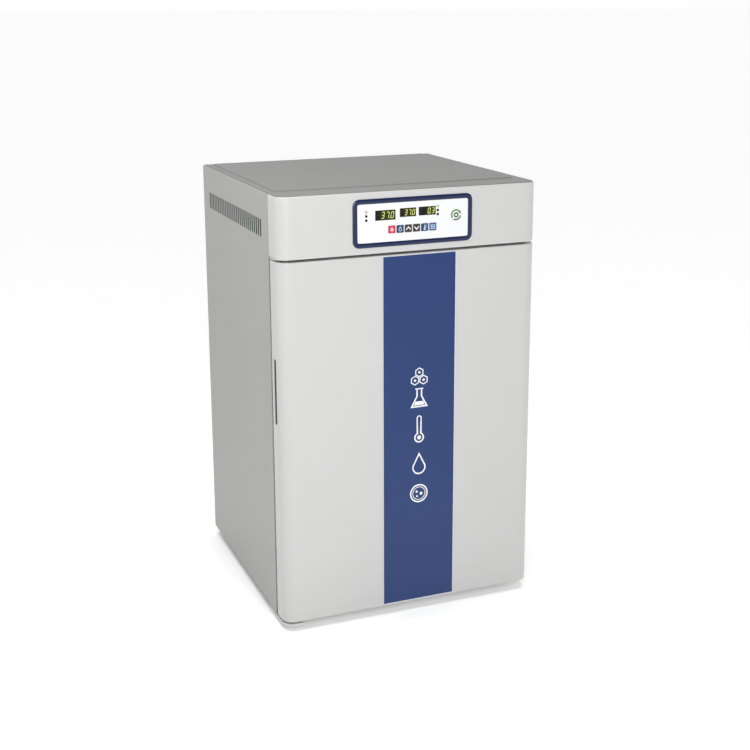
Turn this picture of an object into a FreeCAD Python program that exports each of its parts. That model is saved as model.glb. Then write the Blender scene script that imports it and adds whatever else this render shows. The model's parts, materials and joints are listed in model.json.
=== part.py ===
import FreeCAD, Part
import math
import os
import Sketcher

# Laboratory incubator, millimetres. X is across the front, -Y is the front, Z is up from the floor.
# The origin is on the floor, in the middle of the footprint.

DIMENSIONS = {
    # main planes of the cabinet
    "cabinet_half_width": 281,
    "front_half_width": 279.8,
    "front_y": -283,
    "seam_y": -227,
    "frame_y": -219,
    "rear_y": 267,
    "fitting_end_y": 285,
    "floor_z": 20,
    "cabinet_top": 897,
    "total_height": 900,
    # sheet metal
    "sheet": 1.2,
    "flange_width": 18,
    "hem_thickness": 2.4,
    "hem_length": 7,
    "fold_radius": 1.1,
    "pan_thickness": 2.5,
    "pan_inset": 3,
    "front_radius": 25,
    "soft_edge": 2,
    "frame_depth": 10,
    "post_width": 18,
    "post_inset": 2,
    "fit_gap": 0.1,
    "overshoot": 1,
    # side vents
    "vent_first_y": -183.5,
    "vent_pitch": 14.5,
    "vent_count": 28,
    "vent_width": 9,
    "vent_bottom": 805,
    "vent_top": 843,
    # top cover
    "cover_inset": 3.5,
    "cover_sheet": 1.2,
    "plateau_front_y": -213,
    "plateau_side": 20,
    "plateau_rear_margin": 6,
    "plateau_corner": 8,
    # outer door
    "door_depth": 54,
    "door_height": 750,
    "grip_y": -252,
    "grip_width": 13,
    "grip_depth": 20,
    "grip_bottom": 439,
    "grip_top": 573,
    "grip_corner": 3,
    "cup_wall": 1,
    "door_rear_radius": 5,
    "door_inner_inset": 6,
    "stripe_left": -63.5,
    "stripe_right": 96,
    "stripe_thickness": 0.6,
    "seal_half_width": 252,
    "seal_bottom": 36,
    "seal_top": 748,
    "seal_width": 16,
    "seal_squeeze_gap": 0.5,
    # outer door hinge
    "hinge_x": -256,
    "hinge_y": -258,
    "hinge_pin_radius": 4,
    "bush_radius": 7,
    "bush_length": 13,
    "bush_flange": 2,
    "running_gap": 0.05,
    "plate_width": 41,
    "lower_plate_length": 98,
    "lower_plate_bottom": 11.5,
    "lower_plate_thickness": 5,
    "lower_plate_seat_y": -216,
    "plate_screw_inset": 2,
    "plate_screw_radius": 2.5,
    "plate_screw_head": 1.8,
    "upper_plate_thickness": 2.5,
    "upper_plate_setback": 15,
    "pin_length": 19,
    # control head
    "head_bottom": 774.5,
    "head_wall": 2,
    "panel_left": -126.4,
    "panel_right": 130.5,
    "panel_bottom": 787.5,
    "panel_top": 884,
    "panel_radius": 14,
    "bezel_width": 10,
    "bezel_height": 2,
    "bezel_chamfer": 1,
    "face_thickness": 1.2,
    "lamp_height": 0.5,
    "module_sink": 0.3,
    "window_left": -108,
    "window_right": 115,
    "window_bottom": 806,
    "window_top": 868,
    "board_y": -275,
    "board_thickness": 1.6,
    "lamp_radius": 2.6,
    "key_size": 15,
    "key_pitch": 17.6,
    "key_first_x": -44.3,
    "key_row": 821.2,
    "key_gap": 0.3,
    "key_height": 1.9,
    "key_travel": 0.6,
    "key_lip": 1,
    "key_lip_thickness": 1.2,
    "key_seat": 0.4,
    "key_corner": 1.5,
    "key_stem_radius": 2.5,
    "switch_half_width": 3,
    "switch_height": 1,
    "start_x": 94.5,
    "start_z": 841.5,
    "start_radius": 11,
    "start_lip": 2,
    # power board
    "standoff_height": 10,
    "supply_left": -240,
    "supply_right": -115,
    "supply_front_y": -20,
    "supply_rear_y": 150,
    # chamber
    "chamber_half_width": 200,
    "chamber_depth": 400,
    "chamber_floor": 150,
    "chamber_height": 500,
    "chamber_radius": 18.5,
    "rim_width": 32,
    "mouth_half_width": 222,
    "mouth_bottom": 128,
    "mouth_top": 672,
    "foil": 1,
    "slab_top": 735,
    "slab_gap": 0.5,
    "slab_reach_down": 45,
    "floor_slab_thickness": 85,
    "side_slab_drop": 40,
    "roof_bore_radius": 13.8,
    "foil_front_y": -200,
    "foil_bottom": 190,
    "foil_top": 610,
    # shelves and tray
    "shelf_half_width": 190,
    "shelf_front_y": -178,
    "shelf_rear_y": 169,
    "shelf_height": 12,
    "shelf_lowest": 270,
    "shelf_spacing": 120,
    "ledge_width": 14,
    "rack_gap": 3,
    "rack_bottom": 160,
    "rack_top": 600,
    "rack_window_radius": 22,
    "rack_window_pitch": 69,
    "rack_window_first_y": -142,
    "stud_radius": 4,
    "stud_length": 2.8,
    "hole_radius": 10,
    "hole_pitch_x": 32,
    "hole_pitch_y": 36,
    "hole_first_x": -160,
    "hole_setback": 30,
    "shelf_corner": 6,
    "tray_half_width": 150,
    "tray_front_y": -175,
    "tray_rear_y": 145,
    "tray_depth": 35,
    "tray_corner": 14,
    "tray_inner_corner": 12.5,
    # inner glass door
    "glass_hinge_x": -216,
    "glass_hinge_y": -221,
    "glass_pin_radius": 2,
    "glass_left": -209,
    "glass_right": 212,
    "glass_bottom": 136,
    "glass_top": 664,
    "glass_thickness": 5,
    "glass_front_y": -222.5,
    "leaf_length": 60,
    "leaf_reach": 28,
    "leaf_thickness": 1.5,
    "barrel_radius": 3.5,
    "ear_height": 12,
    "ear_gap": 0.5,
    "lower_leaf": 200,
    "upper_leaf": 540,
    "glass_gasket_width": 6.5,
    "knob_x": 190,
    "knob_z": 400,
    "knob_radius": 13,
    # fan and sensors
    "fan_y": 60,
    "fan_radius": 65,
    "fan_bottom": 622,
    "shaft_radius": 4,
    "sensor_x": 100,
    "sensor_y": 130,
    "sensor_cap_height": 14,
    "gas_sensor_radius": 12,
    "gas_sensor_cap": 17,
    "probe_radius": 3,
    "probe_cap": 8,
    "plenum_bottom": 612,
    "plenum_half_width": 178,
    "plenum_front_y": -140,
    "plenum_rear_y": 175,
    "plenum_intake_radius": 52,
    "outlet_pitch": 54,
    "filter_radius": 74,
    "filter_height": 24,
    "motor_radius": 34,
    "motor_flange_radius": 44,
    "motor_height": 50,
    "hub_radius": 14,
    "blade_thickness": 1.6,
    "fan_plate": 1.5,
    "tube_drop_y": 100,
    "tube_bend": 35,
    # rear fittings
    "gas_x": 150,
    "gas_z": 840,
    "hose_radius": 4,
    "spigot_base_radius": 9,
    "spigot_neck_radius": 5,
    "spigot_neck_length": 22,
    "spigot_bore": 2.2,
    "valve_length": 40,
    "inlet_x": -170,
    "switch_x": -105,
    "mains_z": 820,
    "inlet_half_width": 14,
    "inlet_half_height": 10,
    "inlet_depth": 22,
    "switch_case_half_width": 11,
    "switch_case_half_height": 14,
    "switch_depth": 20,
    "rocker_half_width": 8.5,
    "rocker_pivot_radius": 1.5,
    "rocker_pivot_depth": 5,
    "port_x": -130,
    "port_z": 560,
    "port_radius": 18,
    "port_bore": 14,
    "port_flange": 6,
    "port_flange_thickness": 3,
    "plug_length": 63,
    # rear cover
    "rear_slot_width": 6,
    "rear_slot_pitch": 12,
    "rear_slot_bottom": 780,
    "rear_slot_top": 830,
    "cover_screw_inset": 11,
    "cover_screw_radius": 2,
    "cover_screw_length": 8,
    "cover_screw_head": 4.5,
    "cover_screw_head_height": 2.2,
    # feet
    "foot_radius": 20,
    "foot_setback": 75,
    "front_foot_setback": 110,
    "foot_taper": 2,
}

# how close two coordinates must be to count as the same
NEAR = 0.01


class Size:
    """A length that carries its number and the spreadsheet expression behind it."""

    def __init__(self, number, text):
        self.number = float(number)
        self.text = text

    def __add__(self, other):
        other = as_size(other)
        return Size(self.number + other.number, f"({self.text} + {other.text})")

    def __radd__(self, other):
        return as_size(other) + self

    def __sub__(self, other):
        other = as_size(other)
        return Size(self.number - other.number, f"({self.text} - {other.text})")

    def __rsub__(self, other):
        return as_size(other) - self

    def __mul__(self, factor):
        factor = as_size(factor)
        return Size(self.number * factor.number, f"({self.text} * {factor.text})")

    def __rmul__(self, factor):
        return as_size(factor) * self

    def __truediv__(self, divisor):
        divisor = as_size(divisor)
        return Size(self.number / divisor.number, f"({self.text} / {divisor.text})")

    def __neg__(self):
        return Size(-self.number, f"(0 - {self.text})")


def as_size(amount):
    """A plain number becomes a Size with that number as its expression."""
    if isinstance(amount, Size):
        return amount
    return Size(amount, f"({amount})")


class SizeSheet:
    """The spreadsheet's cells, readable as attributes that are Sizes."""

    def __init__(self, document):
        self.cells = document.addObject("Spreadsheet::Sheet", "Sizes")
        for row, (alias, number) in enumerate(DIMENSIONS.items(), start=1):
            self.cells.set(f"A{row}", alias)
            self.cells.set(f"B{row}", str(number))
            self.cells.setAlias(f"B{row}", alias)
        document.recompute()

    def __getattr__(self, alias):
        return Size(self.cells.get(alias), f"Sizes.{alias}")


doc = FreeCAD.newDocument("incubator")
size = SizeSheet(doc)
nodes = []

AXES = {
    "x": FreeCAD.Vector(1, 0, 0),
    "y": FreeCAD.Vector(0, 1, 0),
    "z": FreeCAD.Vector(0, 0, 1),
}
# turns a cylinder's own Z axis onto the named axis
TURNS = {
    "x": FreeCAD.Rotation(FreeCAD.Vector(0, 1, 0), 90),
    "y": FreeCAD.Rotation(FreeCAD.Vector(1, 0, 0), -90),
    "z": FreeCAD.Rotation(),
}


# ---------------------------------------------------------------- general helpers

def bind(thing, setting, amount):
    """Ties one numeric setting of an object to the sheet."""
    thing.setExpression(setting, as_size(amount).text)


def place(thing, x, y, z, rotation=FreeCAD.Rotation()):
    """Puts an object at a point, with each coordinate tied to the sheet."""
    point = [as_size(amount) for amount in (x, y, z)]
    thing.Placement = FreeCAD.Placement(FreeCAD.Vector(*(amount.number for amount in point)), rotation)
    for name, amount in zip("xyz", point):
        bind(thing, f"Placement.Base.{name}", amount)


def finished(piece, label):
    """Names a sub-part, so that it is written as a node."""
    piece.Label = label
    nodes.append(piece)
    return piece


# ---------------------------------------------------------------- Part primitives

def block(x, y, z):
    """A box between (low, high) pairs."""
    box = doc.addObject("Part::Box", "block")
    for setting, (low, high) in zip(("Length", "Width", "Height"), (x, y, z)):
        bind(box, setting, as_size(high) - as_size(low))
    place(box, x[0], y[0], z[0])
    return box


def rod(x, y, z, radius, length, axis="z"):
    """A cylinder that starts at a point and runs along an axis."""
    cylinder = doc.addObject("Part::Cylinder", "rod")
    bind(cylinder, "Radius", radius)
    bind(cylinder, "Height", length)
    place(cylinder, x, y, z, TURNS[axis])
    return cylinder


def taper(x, y, z, start_radius, end_radius, length, axis="z"):
    """A cone that starts at a point and runs along an axis."""
    cone = doc.addObject("Part::Cone", "taper")
    bind(cone, "Radius1", start_radius)
    bind(cone, "Radius2", end_radius)
    bind(cone, "Height", length)
    place(cone, x, y, z, TURNS[axis])
    return cone


def joined(pieces):
    fusion = doc.addObject("Part::MultiFuse", "joined")
    fusion.Shapes = pieces
    return fusion


def less(base, tools):
    """A solid with one or more tools cut out of it."""
    cut = doc.addObject("Part::Cut", "less")
    cut.Base = base
    cut.Tool = tools[0] if len(tools) == 1 else joined(tools)
    return cut


def group(label, pieces):
    """One node that holds several separate solids."""
    compound = doc.addObject("Part::Compound", label)
    compound.Links = pieces
    return finished(compound, label)


# ---------------------------------------------------------------- PartDesign helpers

def new_body(label):
    body = doc.addObject("PartDesign::Body", label)
    return finished(body, label)


def origin_feature(body, role):
    return next(item for item in body.Origin.OriginFeatures if item.Role == role)


def new_sketch(body, plane, offset=0):
    """A sketch on one of the body's own planes. XZ looks along -Y, so its offset is -y."""
    sketch = body.newObject("Sketcher::SketchObject", "outline")
    sketch.AttachmentSupport = [(origin_feature(body, f"{plane}_Plane"), "")]
    sketch.MapMode = "FlatFace"
    bind(sketch, "AttachmentOffset.Base.z", offset)
    return sketch


def dimension(sketch, kind, target, amount):
    """Adds one driving dimension and ties it to the sheet."""
    amount = as_size(amount)
    index = sketch.addConstraint(Sketcher.Constraint(kind, *target, amount.number))
    sketch.setExpression(f"Constraints[{index}]", amount.text)


def locate(sketch, line, end, x, y):
    """Fixes a point of the sketch by its distances from the sketch's origin."""
    dimension(sketch, "DistanceX", (-1, 1, line, end), x)
    dimension(sketch, "DistanceY", (-1, 1, line, end), y)


def polygon(sketch, corners):
    """A closed outline through the corners."""
    corners = [(as_size(x), as_size(y)) for x, y in corners]
    points = [FreeCAD.Vector(x.number, y.number, 0) for x, y in corners]
    count = len(points)
    lines = [sketch.addGeometry(Part.LineSegment(points[i], points[(i + 1) % count])) for i in range(count)]
    for i, line in enumerate(lines):
        sketch.addConstraint(Sketcher.Constraint("Coincident", line, 2, lines[(i + 1) % count], 1))
    for line, (x, y) in zip(lines, corners):
        locate(sketch, line, 1, x, y)


def rectangle(sketch, left, right, bottom, top):
    polygon(sketch, [(left, bottom), (right, bottom), (right, top), (left, top)])


def circle(sketch, x, y, radius):
    x, y, radius = as_size(x), as_size(y), as_size(radius)
    centre = FreeCAD.Vector(x.number, y.number, 0)
    ring = sketch.addGeometry(Part.Circle(centre, AXES["z"], radius.number))
    locate(sketch, ring, 3, x, y)
    dimension(sketch, "Radius", (ring,), radius)


def rounded_rectangle(sketch, left, right, bottom, top, radius):
    """Four lines and four tangent corner arcs, counter-clockwise from the bottom line."""
    left, right, bottom, top, radius = (as_size(amount) for amount in (left, right, bottom, top, radius))
    x0, x1, y0, y1, r = left.number, right.number, bottom.number, top.number, radius.number
    ends = [
        ((x0 + r, y0), (x1 - r, y0)),
        ((x1, y0 + r), (x1, y1 - r)),
        ((x1 - r, y1), (x0 + r, y1)),
        ((x0, y1 - r), (x0, y0 + r)),
    ]
    centres = [(x1 - r, y0 + r), (x1 - r, y1 - r), (x0 + r, y1 - r), (x0 + r, y0 + r)]
    lines = []
    arcs = []
    for quarter, ((start, end), centre) in enumerate(zip(ends, centres)):
        line = Part.LineSegment(FreeCAD.Vector(*start, 0), FreeCAD.Vector(*end, 0))
        corner = Part.Circle(FreeCAD.Vector(*centre, 0), AXES["z"], r)
        turn = math.pi / 2
        lines.append(sketch.addGeometry(line))
        arcs.append(sketch.addGeometry(Part.ArcOfCircle(corner, (quarter - 1) * turn, quarter * turn)))
    for i in range(4):
        sketch.addConstraint(Sketcher.Constraint("Tangent", lines[i], 2, arcs[i], 1))
        sketch.addConstraint(Sketcher.Constraint("Tangent", arcs[i], 2, lines[(i + 1) % 4], 1))
    for arc in arcs[1:]:
        sketch.addConstraint(Sketcher.Constraint("Equal", arcs[0], arc))
    sketch.addConstraint(Sketcher.Constraint("Horizontal", lines[0]))
    sketch.addConstraint(Sketcher.Constraint("Vertical", lines[1]))
    dimension(sketch, "Radius", (arcs[0],), radius)
    dimension(sketch, "DistanceY", (-1, 1, lines[0], 1), bottom)
    dimension(sketch, "DistanceX", (-1, 1, lines[1], 1), right)
    dimension(sketch, "DistanceY", (-1, 1, lines[2], 1), top)
    dimension(sketch, "DistanceX", (-1, 1, lines[3], 1), left)


def span_feature(body, kind, plane, low, high, draw):
    """Pads or pockets an outline between two coordinates along the plane's own axis.

    XZ features run towards -Y, so their sketch lies on the high side.
    """
    low, high = as_size(low), as_size(high)
    start = -high if plane == "XZ" else low
    sketch = new_sketch(body, plane, start)
    draw(sketch)
    feature = body.newObject(f"PartDesign::{kind}", kind.lower())
    feature.Profile = sketch
    bind(feature, "Length", high - low)
    if kind == "Pocket":
        feature.Reversed = True
    return feature


def pad(body, plane, low, high, draw):
    return span_feature(body, "Pad", plane, low, high, draw)


def pocket(body, plane, low, high, draw):
    """Cuts an outline, and stops if nothing was cut."""
    doc.recompute()
    before = body.Shape.Volume
    feature = span_feature(body, "Pocket", plane, low, high, draw)
    doc.recompute()
    if body.Shape.Volume > before - NEAR:
        raise RuntimeError(f"{body.Label}: a pocket cut nothing")
    return feature


def edges_where(shape, test):
    """Names of the edges whose bounding box passes a test."""
    return [f"Edge{i}" for i, edge in enumerate(shape.Edges, start=1) if test(edge.BoundBox)]


def upright_at(x, y):
    """Tests for a vertical edge at a plan position."""
    def test(box):
        on_line = abs(box.Center.x - x.number) < NEAR and abs(box.Center.y - y.number) < NEAR
        return on_line and box.ZLength > 1 and box.XLength < NEAR and box.YLength < NEAR
    return test


def level_at(z):
    """Tests for an edge that lies in a level plane."""
    return lambda box: abs(box.ZMin - z.number) < NEAR and abs(box.ZMax - z.number) < NEAR


def dress(body, kind, setting, amount, test):
    """Adds a Fillet or Chamfer to the edges that pass the test."""
    doc.recompute()
    names = edges_where(body.Shape, test)
    if not names:
        raise RuntimeError(f"{body.Label}: no edge to {kind.lower()}")
    base = body.Tip
    feature = body.newObject(f"PartDesign::{kind}", kind.lower())
    feature.Base = (base, names)
    bind(feature, setting, amount)
    body.Tip = feature
    doc.recompute()


def fillet(body, radius, test):
    dress(body, "Fillet", "Radius", radius, test)


def chamfer(body, width, test):
    dress(body, "Chamfer", "Size", width, test)


def row_pattern(body, feature, axis, pitch, count):
    """Repeats a feature along one of the body's own axes."""
    doc.recompute()
    pattern = body.newObject("PartDesign::LinearPattern", "row")
    pattern.Originals = [feature]
    pattern.Direction = (origin_feature(body, f"{axis}_Axis"), [""])
    bind(pattern, "Length", as_size(pitch) * (as_size(count) - 1))
    bind(pattern, "Occurrences", count)
    body.Tip = pattern


def turned(body, profile):
    """Revolves an XZ outline about the body's own Z axis."""
    sketch = new_sketch(body, "XZ")
    polygon(sketch, profile)
    feature = body.newObject("PartDesign::Revolution", "turned")
    feature.Profile = sketch
    feature.ReferenceAxis = (origin_feature(body, "Z_Axis"), [""])
    feature.Angle = 360
    return feature


# ---------------------------------------------------------------- cabinet shells

def side_panel(side, label):
    """Folded sheet with a row of vent slots. side is -1 for left and +1 for right."""
    body = new_body(label)
    outer = side * size.cabinet_half_width
    inner = side * (size.cabinet_half_width - size.sheet)
    lip = side * (size.cabinet_half_width - size.flange_width)
    bottom, top = size.floor_z, size.cabinet_top
    profile = [
        (outer, bottom),
        (lip, bottom),
        (lip, bottom + size.sheet),
        (inner, bottom + size.sheet),
        (inner, top - size.sheet),
        (lip, top - size.sheet),
        (lip, top),
        (outer, top),
    ]
    pad(body, "XZ", size.seam_y, size.rear_y, lambda sketch: polygon(sketch, profile))
    fillet(body, size.fold_radius, lambda box: box.YLength > 400 and abs(box.XMin - outer.number) < NEAR)
    hem = side * (size.cabinet_half_width - size.hem_thickness)
    low_x, high_x = (outer, hem) if side < 0 else (hem, outer)
    clear_bottom, clear_top = bottom + size.sheet * 2, top - size.sheet * 2
    pad(body, "XY", clear_bottom, clear_top, lambda sketch: rectangle(
        sketch, low_x, high_x, size.seam_y, size.seam_y + size.hem_length))
    fillet(body, size.fold_radius, upright_at(outer, size.seam_y))
    low_x, high_x = (inner, lip) if side < 0 else (lip, inner)
    over = size.overshoot
    pocket(body, "XY", bottom - over, bottom + size.sheet + over, lambda sketch: rectangle(
        sketch, low_x - over, high_x + over, size.seam_y - over, size.frame_y + over))
    low_x, high_x = (outer, inner) if side < 0 else (inner, outer)
    slot = pocket(body, "YZ", low_x - over, high_x + over, lambda sketch: rounded_rectangle(
        sketch, size.vent_first_y, size.vent_first_y + size.vent_width,
        size.vent_bottom, size.vent_top, size.vent_width / 2 - size.fit_gap))
    row_pattern(body, slot, "Y", size.vent_pitch, size.vent_count)
    return body


def rear_openings(sketch):
    """Holes in the rear cover for the mains inlet, switch, gas inlet and access port."""
    for x, half_width, half_height in (
            (size.inlet_x, size.inlet_half_width, size.inlet_half_height),
            (size.switch_x, size.switch_case_half_width, size.switch_case_half_height)):
        rectangle(sketch, x - half_width, x + half_width,
                  size.mains_z - half_height, size.mains_z + half_height)
    circle(sketch, size.gas_x, size.gas_z, size.spigot_neck_radius + size.fit_gap * 2)
    circle(sketch, size.port_x, size.port_z, size.port_radius + size.fit_gap * 2)


def rear_screw_places():
    """Screw positions on the two rear posts."""
    column = size.cabinet_half_width - size.cover_screw_inset
    return [(side * column, height) for side in (-1, 1) for height in (60, 260, 460, 660, 860)]


def rear_cover():
    body = new_body("rear_cover")
    edge = size.cabinet_half_width - size.sheet - size.fit_gap
    low, high = size.rear_y - size.sheet, size.rear_y
    over = size.overshoot
    pad(body, "XZ", low, high, lambda sketch: rectangle(
        sketch, -edge, edge, size.floor_z + size.sheet + size.fit_gap,
        size.cabinet_top - size.sheet - size.fit_gap))
    pocket(body, "XZ", low - over, high + over, rear_openings)

    def screw_holes(sketch):
        for x, height in rear_screw_places():
            circle(sketch, x, height, size.cover_screw_radius)

    pocket(body, "XZ", low - over, high + over, screw_holes)
    slot = pocket(body, "XZ", low - over, high + over, lambda sketch: rounded_rectangle(
        sketch, 0, size.rear_slot_width, size.rear_slot_bottom, size.rear_slot_top,
        size.rear_slot_width / 2 - size.fit_gap))
    row_pattern(body, slot, "X", size.rear_slot_pitch, 9)
    return body


def rear_cover_screws():
    """Pan-head screws: a domed head on the cover and a shank into the post."""
    screws = []
    for x, height in rear_screw_places():
        head = taper(x, size.rear_y, height, size.cover_screw_head, size.cover_screw_head * 0.7,
                     size.cover_screw_head_height, "y")
        shank = rod(x, size.rear_y - size.cover_screw_length, height, size.cover_screw_radius,
                    size.cover_screw_length, "y")
        screws.append(joined([head, shank]))
    return screws


def base_pan():
    body = new_body("base_pan")
    edge = size.cabinet_half_width - size.pan_inset
    low, high, over = size.floor_z - size.pan_thickness, size.floor_z, size.overshoot
    pad(body, "XY", low, high, lambda sketch: rectangle(
        sketch, -edge, edge, size.frame_y + over, size.rear_y - size.pan_inset))

    def plate_screw_holes(sketch):
        for y in lower_screw_places():
            circle(sketch, size.hinge_x - size.plate_screw_inset, y, size.plate_screw_radius)

    pocket(body, "XY", low - over, high + over, plate_screw_holes)
    return body


def cabinet_frame():
    """Four square posts behind the corners of the front frame and the rear cover."""
    outer = size.cabinet_half_width - size.post_inset
    inner = outer - size.post_width
    front = (chamber_front(), chamber_front() + size.post_width)
    rear = (size.rear_y - size.sheet - size.post_width, size.rear_y - size.sheet)
    height = (size.floor_z + size.sheet, size.cabinet_top - size.sheet)
    posts = []
    for side in (-1, 1):
        span = (-outer, -inner) if side < 0 else (inner, outer)
        posts.append(block(span, front, height))
        start = size.rear_y - size.cover_screw_length - size.fit_gap
        holes = [rod(x, start, z, size.cover_screw_radius, size.cover_screw_length, "y")
                 for x, z in rear_screw_places() if x.number * side > 0]
        posts.append(less(block(span, rear, height), holes))
    return group("cabinet_frame", posts)


def front_frame():
    """Steel surround of the mouth, with a stepped opening for the glass door."""
    body = new_body("front_frame")
    edge = size.cabinet_half_width - size.sheet - size.fit_gap
    back = chamber_front()
    over = size.overshoot
    pad(body, "XZ", size.frame_y, back, lambda sketch: rectangle(
        sketch, -edge, edge, size.floor_z + size.sheet + size.fit_gap, size.head_bottom - size.fit_gap * 2))
    pocket(body, "XZ", size.frame_y - over, back + over, lambda sketch: rounded_rectangle(
        sketch, -size.mouth_half_width, size.mouth_half_width, size.mouth_bottom, size.mouth_top, 6))
    return body


def top_cover():
    """Thin cover with a raised plateau; the plateau starts behind the head."""
    body = new_body("top_cover")
    base = size.cabinet_top
    edge = size.cabinet_half_width - size.cover_inset
    front = size.front_y + size.cover_inset
    rear = size.rear_y - size.overshoot
    step = base + size.cover_sheet
    pad(body, "XY", base, step, lambda sketch: rectangle(sketch, -edge, edge, front, rear))
    corner = size.front_radius - size.cover_inset
    for side in (-1, 1):
        fillet(body, corner, upright_at(side * edge, front))
    plateau = size.cabinet_half_width - size.plateau_side
    pad(body, "XY", step, size.total_height, lambda sketch: rounded_rectangle(
        sketch, -plateau, plateau, size.plateau_front_y, rear - size.plateau_rear_margin,
        size.plateau_corner))
    chamfer(body, size.total_height - step - size.fit_gap * 2, level_at(size.total_height))
    return body


def feet():
    """Four tapered rubber feet, set back from the edges."""
    x = size.cabinet_half_width - size.foot_setback
    front = size.front_y + size.front_foot_setback
    rear = size.rear_y - size.foot_setback
    height = size.floor_z - size.pan_thickness
    cones = []
    for foot_x in (-x, x):
        for foot_y in (front, rear):
            cones.append(taper(foot_x, foot_y, 0, size.foot_radius - size.foot_taper, size.foot_radius,
                               height))
    return group("feet", cones)


# ---------------------------------------------------------------- control head

def key_places():
    return [size.key_first_x + size.key_pitch * i for i in range(6)]


def display_windows():
    """(left, right, bottom, top) of the three number displays."""
    return [(-79.5, -36.5, 840.5, 860.5), (-27.5, 7.5, 844.5, 862), (13, 50, 845, 862.5)]


def lamp_places():
    """Centres of the indicator lamps: one column at each end of the displays."""
    left = [(-98.2, 858.6), (-98.2, 850.4), (-98.2, 842.2)]
    right = [(54.4, 861.7), (54.4, 853.6), (54.4, 845.5)]
    return left + right


def control_housing():
    """Deep-drawn head with soft corners, open at the back, with a window for the controls."""
    body = new_body("control_housing")
    edge = size.front_half_width
    bottom, top, wall = size.head_bottom, size.cabinet_top, size.head_wall
    pad(body, "XY", bottom, top, lambda sketch: rectangle(sketch, -edge, edge, size.front_y, size.seam_y))
    for side in (-1, 1):
        fillet(body, size.front_radius, upright_at(side * edge, size.front_y))
    for height, radius in ((top, size.soft_edge * 1.75), (bottom, size.soft_edge * 1.5)):
        level = level_at(height)
        fillet(body, radius, lambda box, level=level: level(box) and box.YMin < size.seam_y.number - 1)
    pocket(body, "XY", bottom + wall, top - wall, lambda sketch: rounded_rectangle(
        sketch, -edge + wall, edge - wall, size.front_y + wall, size.seam_y + 60, size.front_radius - wall))
    over = size.overshoot
    pocket(body, "XZ", size.front_y - over, size.front_y + wall + over, lambda sketch: rectangle(
        sketch, size.window_left, size.window_right, size.window_bottom, size.window_top))

    def hinge_screw_holes(sketch):
        for y in upper_screw_places():
            circle(sketch, size.hinge_x - size.plate_screw_inset, y, size.plate_screw_radius)

    pocket(body, "XY", bottom - over, bottom + wall + over, hinge_screw_holes)
    return body


def panel_bezel():
    body = new_body("panel_bezel")
    width = size.bezel_width

    def ring(sketch):
        rounded_rectangle(sketch, size.panel_left, size.panel_right, size.panel_bottom, size.panel_top,
                          size.panel_radius)
        rounded_rectangle(sketch, size.panel_left + width, size.panel_right - width,
                          size.panel_bottom + width, size.panel_top - width, size.panel_radius - width)

    front = size.front_y - size.bezel_height
    pad(body, "XZ", front, size.front_y, ring)
    chamfer(body, size.bezel_chamfer,
            lambda box: abs(box.YMin - front.number) < NEAR and abs(box.YMax - front.number) < NEAR)
    return body


def panel_face():
    """White front plate with cut-outs for the displays, lamps, keys and start button."""
    body = new_body("panel_face")
    width = size.bezel_width
    low, high = size.front_y - size.face_thickness, size.front_y
    pad(body, "XZ", low, high, lambda sketch: rounded_rectangle(
        sketch, size.panel_left + width, size.panel_right - width,
        size.panel_bottom + width, size.panel_top - width, size.panel_radius - width))

    def round_holes(sketch):
        for x, z in lamp_places():
            circle(sketch, x, z, size.lamp_radius)
        circle(sketch, size.start_x, size.start_z, size.start_radius + size.key_gap)

    def square_holes(sketch):
        for left, right, bottom, top in display_windows():
            rectangle(sketch, left, right, bottom, top)
        reach = size.key_size / 2 + size.key_gap
        for x in key_places():
            rounded_rectangle(sketch, x - reach, x + reach, size.key_row - reach, size.key_row + reach,
                              size.key_corner + size.key_gap)

    pocket(body, "XZ", low - size.overshoot, high + size.overshoot, round_holes)
    pocket(body, "XZ", low - size.overshoot, high + size.overshoot, square_holes)
    return body


def display_modules():
    front = size.front_y - size.face_thickness + size.module_sink
    blocks = [block((left, right), (front, size.board_y), (bottom, top))
              for left, right, bottom, top in display_windows()]
    return group("display_modules", blocks)


def indicator_lamps():
    front = size.front_y - size.face_thickness - size.lamp_height
    lamps = [rod(x, front, z, size.lamp_radius, size.board_y - front, "y") for x, z in lamp_places()]
    return group("indicator_lamps", lamps)


def display_board():
    """Circuit board behind the panel, with one small switch behind each key."""
    pieces = [block((size.window_left + 2, size.window_right - 2),
                    (size.board_y, size.board_y + size.board_thickness),
                    (size.window_bottom + 2, size.window_top - 2))]
    half = size.switch_half_width
    front = size.board_y - size.switch_height
    for x in key_places():
        pieces.append(block((x - half, x + half), (front, size.board_y),
                            (size.key_row - half, size.key_row + half)))
    pieces.append(rod(size.start_x, front, size.start_z, half, size.switch_height, "y"))
    return finished(joined(pieces), "display_board")


def key_stem_end():
    """A stem stops its own travel, and a little more, short of the switch it works."""
    return size.board_y - size.switch_height - size.fit_gap * 2 - size.key_travel


def key(label, x):
    """Square key: a cap in the face's cut-out, a retaining lip behind it and a short stem."""
    body = new_body(label)
    half = size.key_size / 2
    front = size.front_y - size.key_height
    behind = size.front_y + size.key_seat
    pad(body, "XZ", front, behind, lambda sketch: rounded_rectangle(
        sketch, x - half, x + half, size.key_row - half, size.key_row + half, size.key_corner))
    lip = half + size.key_lip
    stem_start = behind + size.key_lip_thickness
    pad(body, "XZ", behind, stem_start, lambda sketch: rectangle(
        sketch, x - lip, x + lip, size.key_row - lip, size.key_row + lip))
    pad(body, "XZ", stem_start, key_stem_end(), lambda sketch: circle(
        sketch, x, size.key_row, size.key_stem_radius))
    return body


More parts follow.
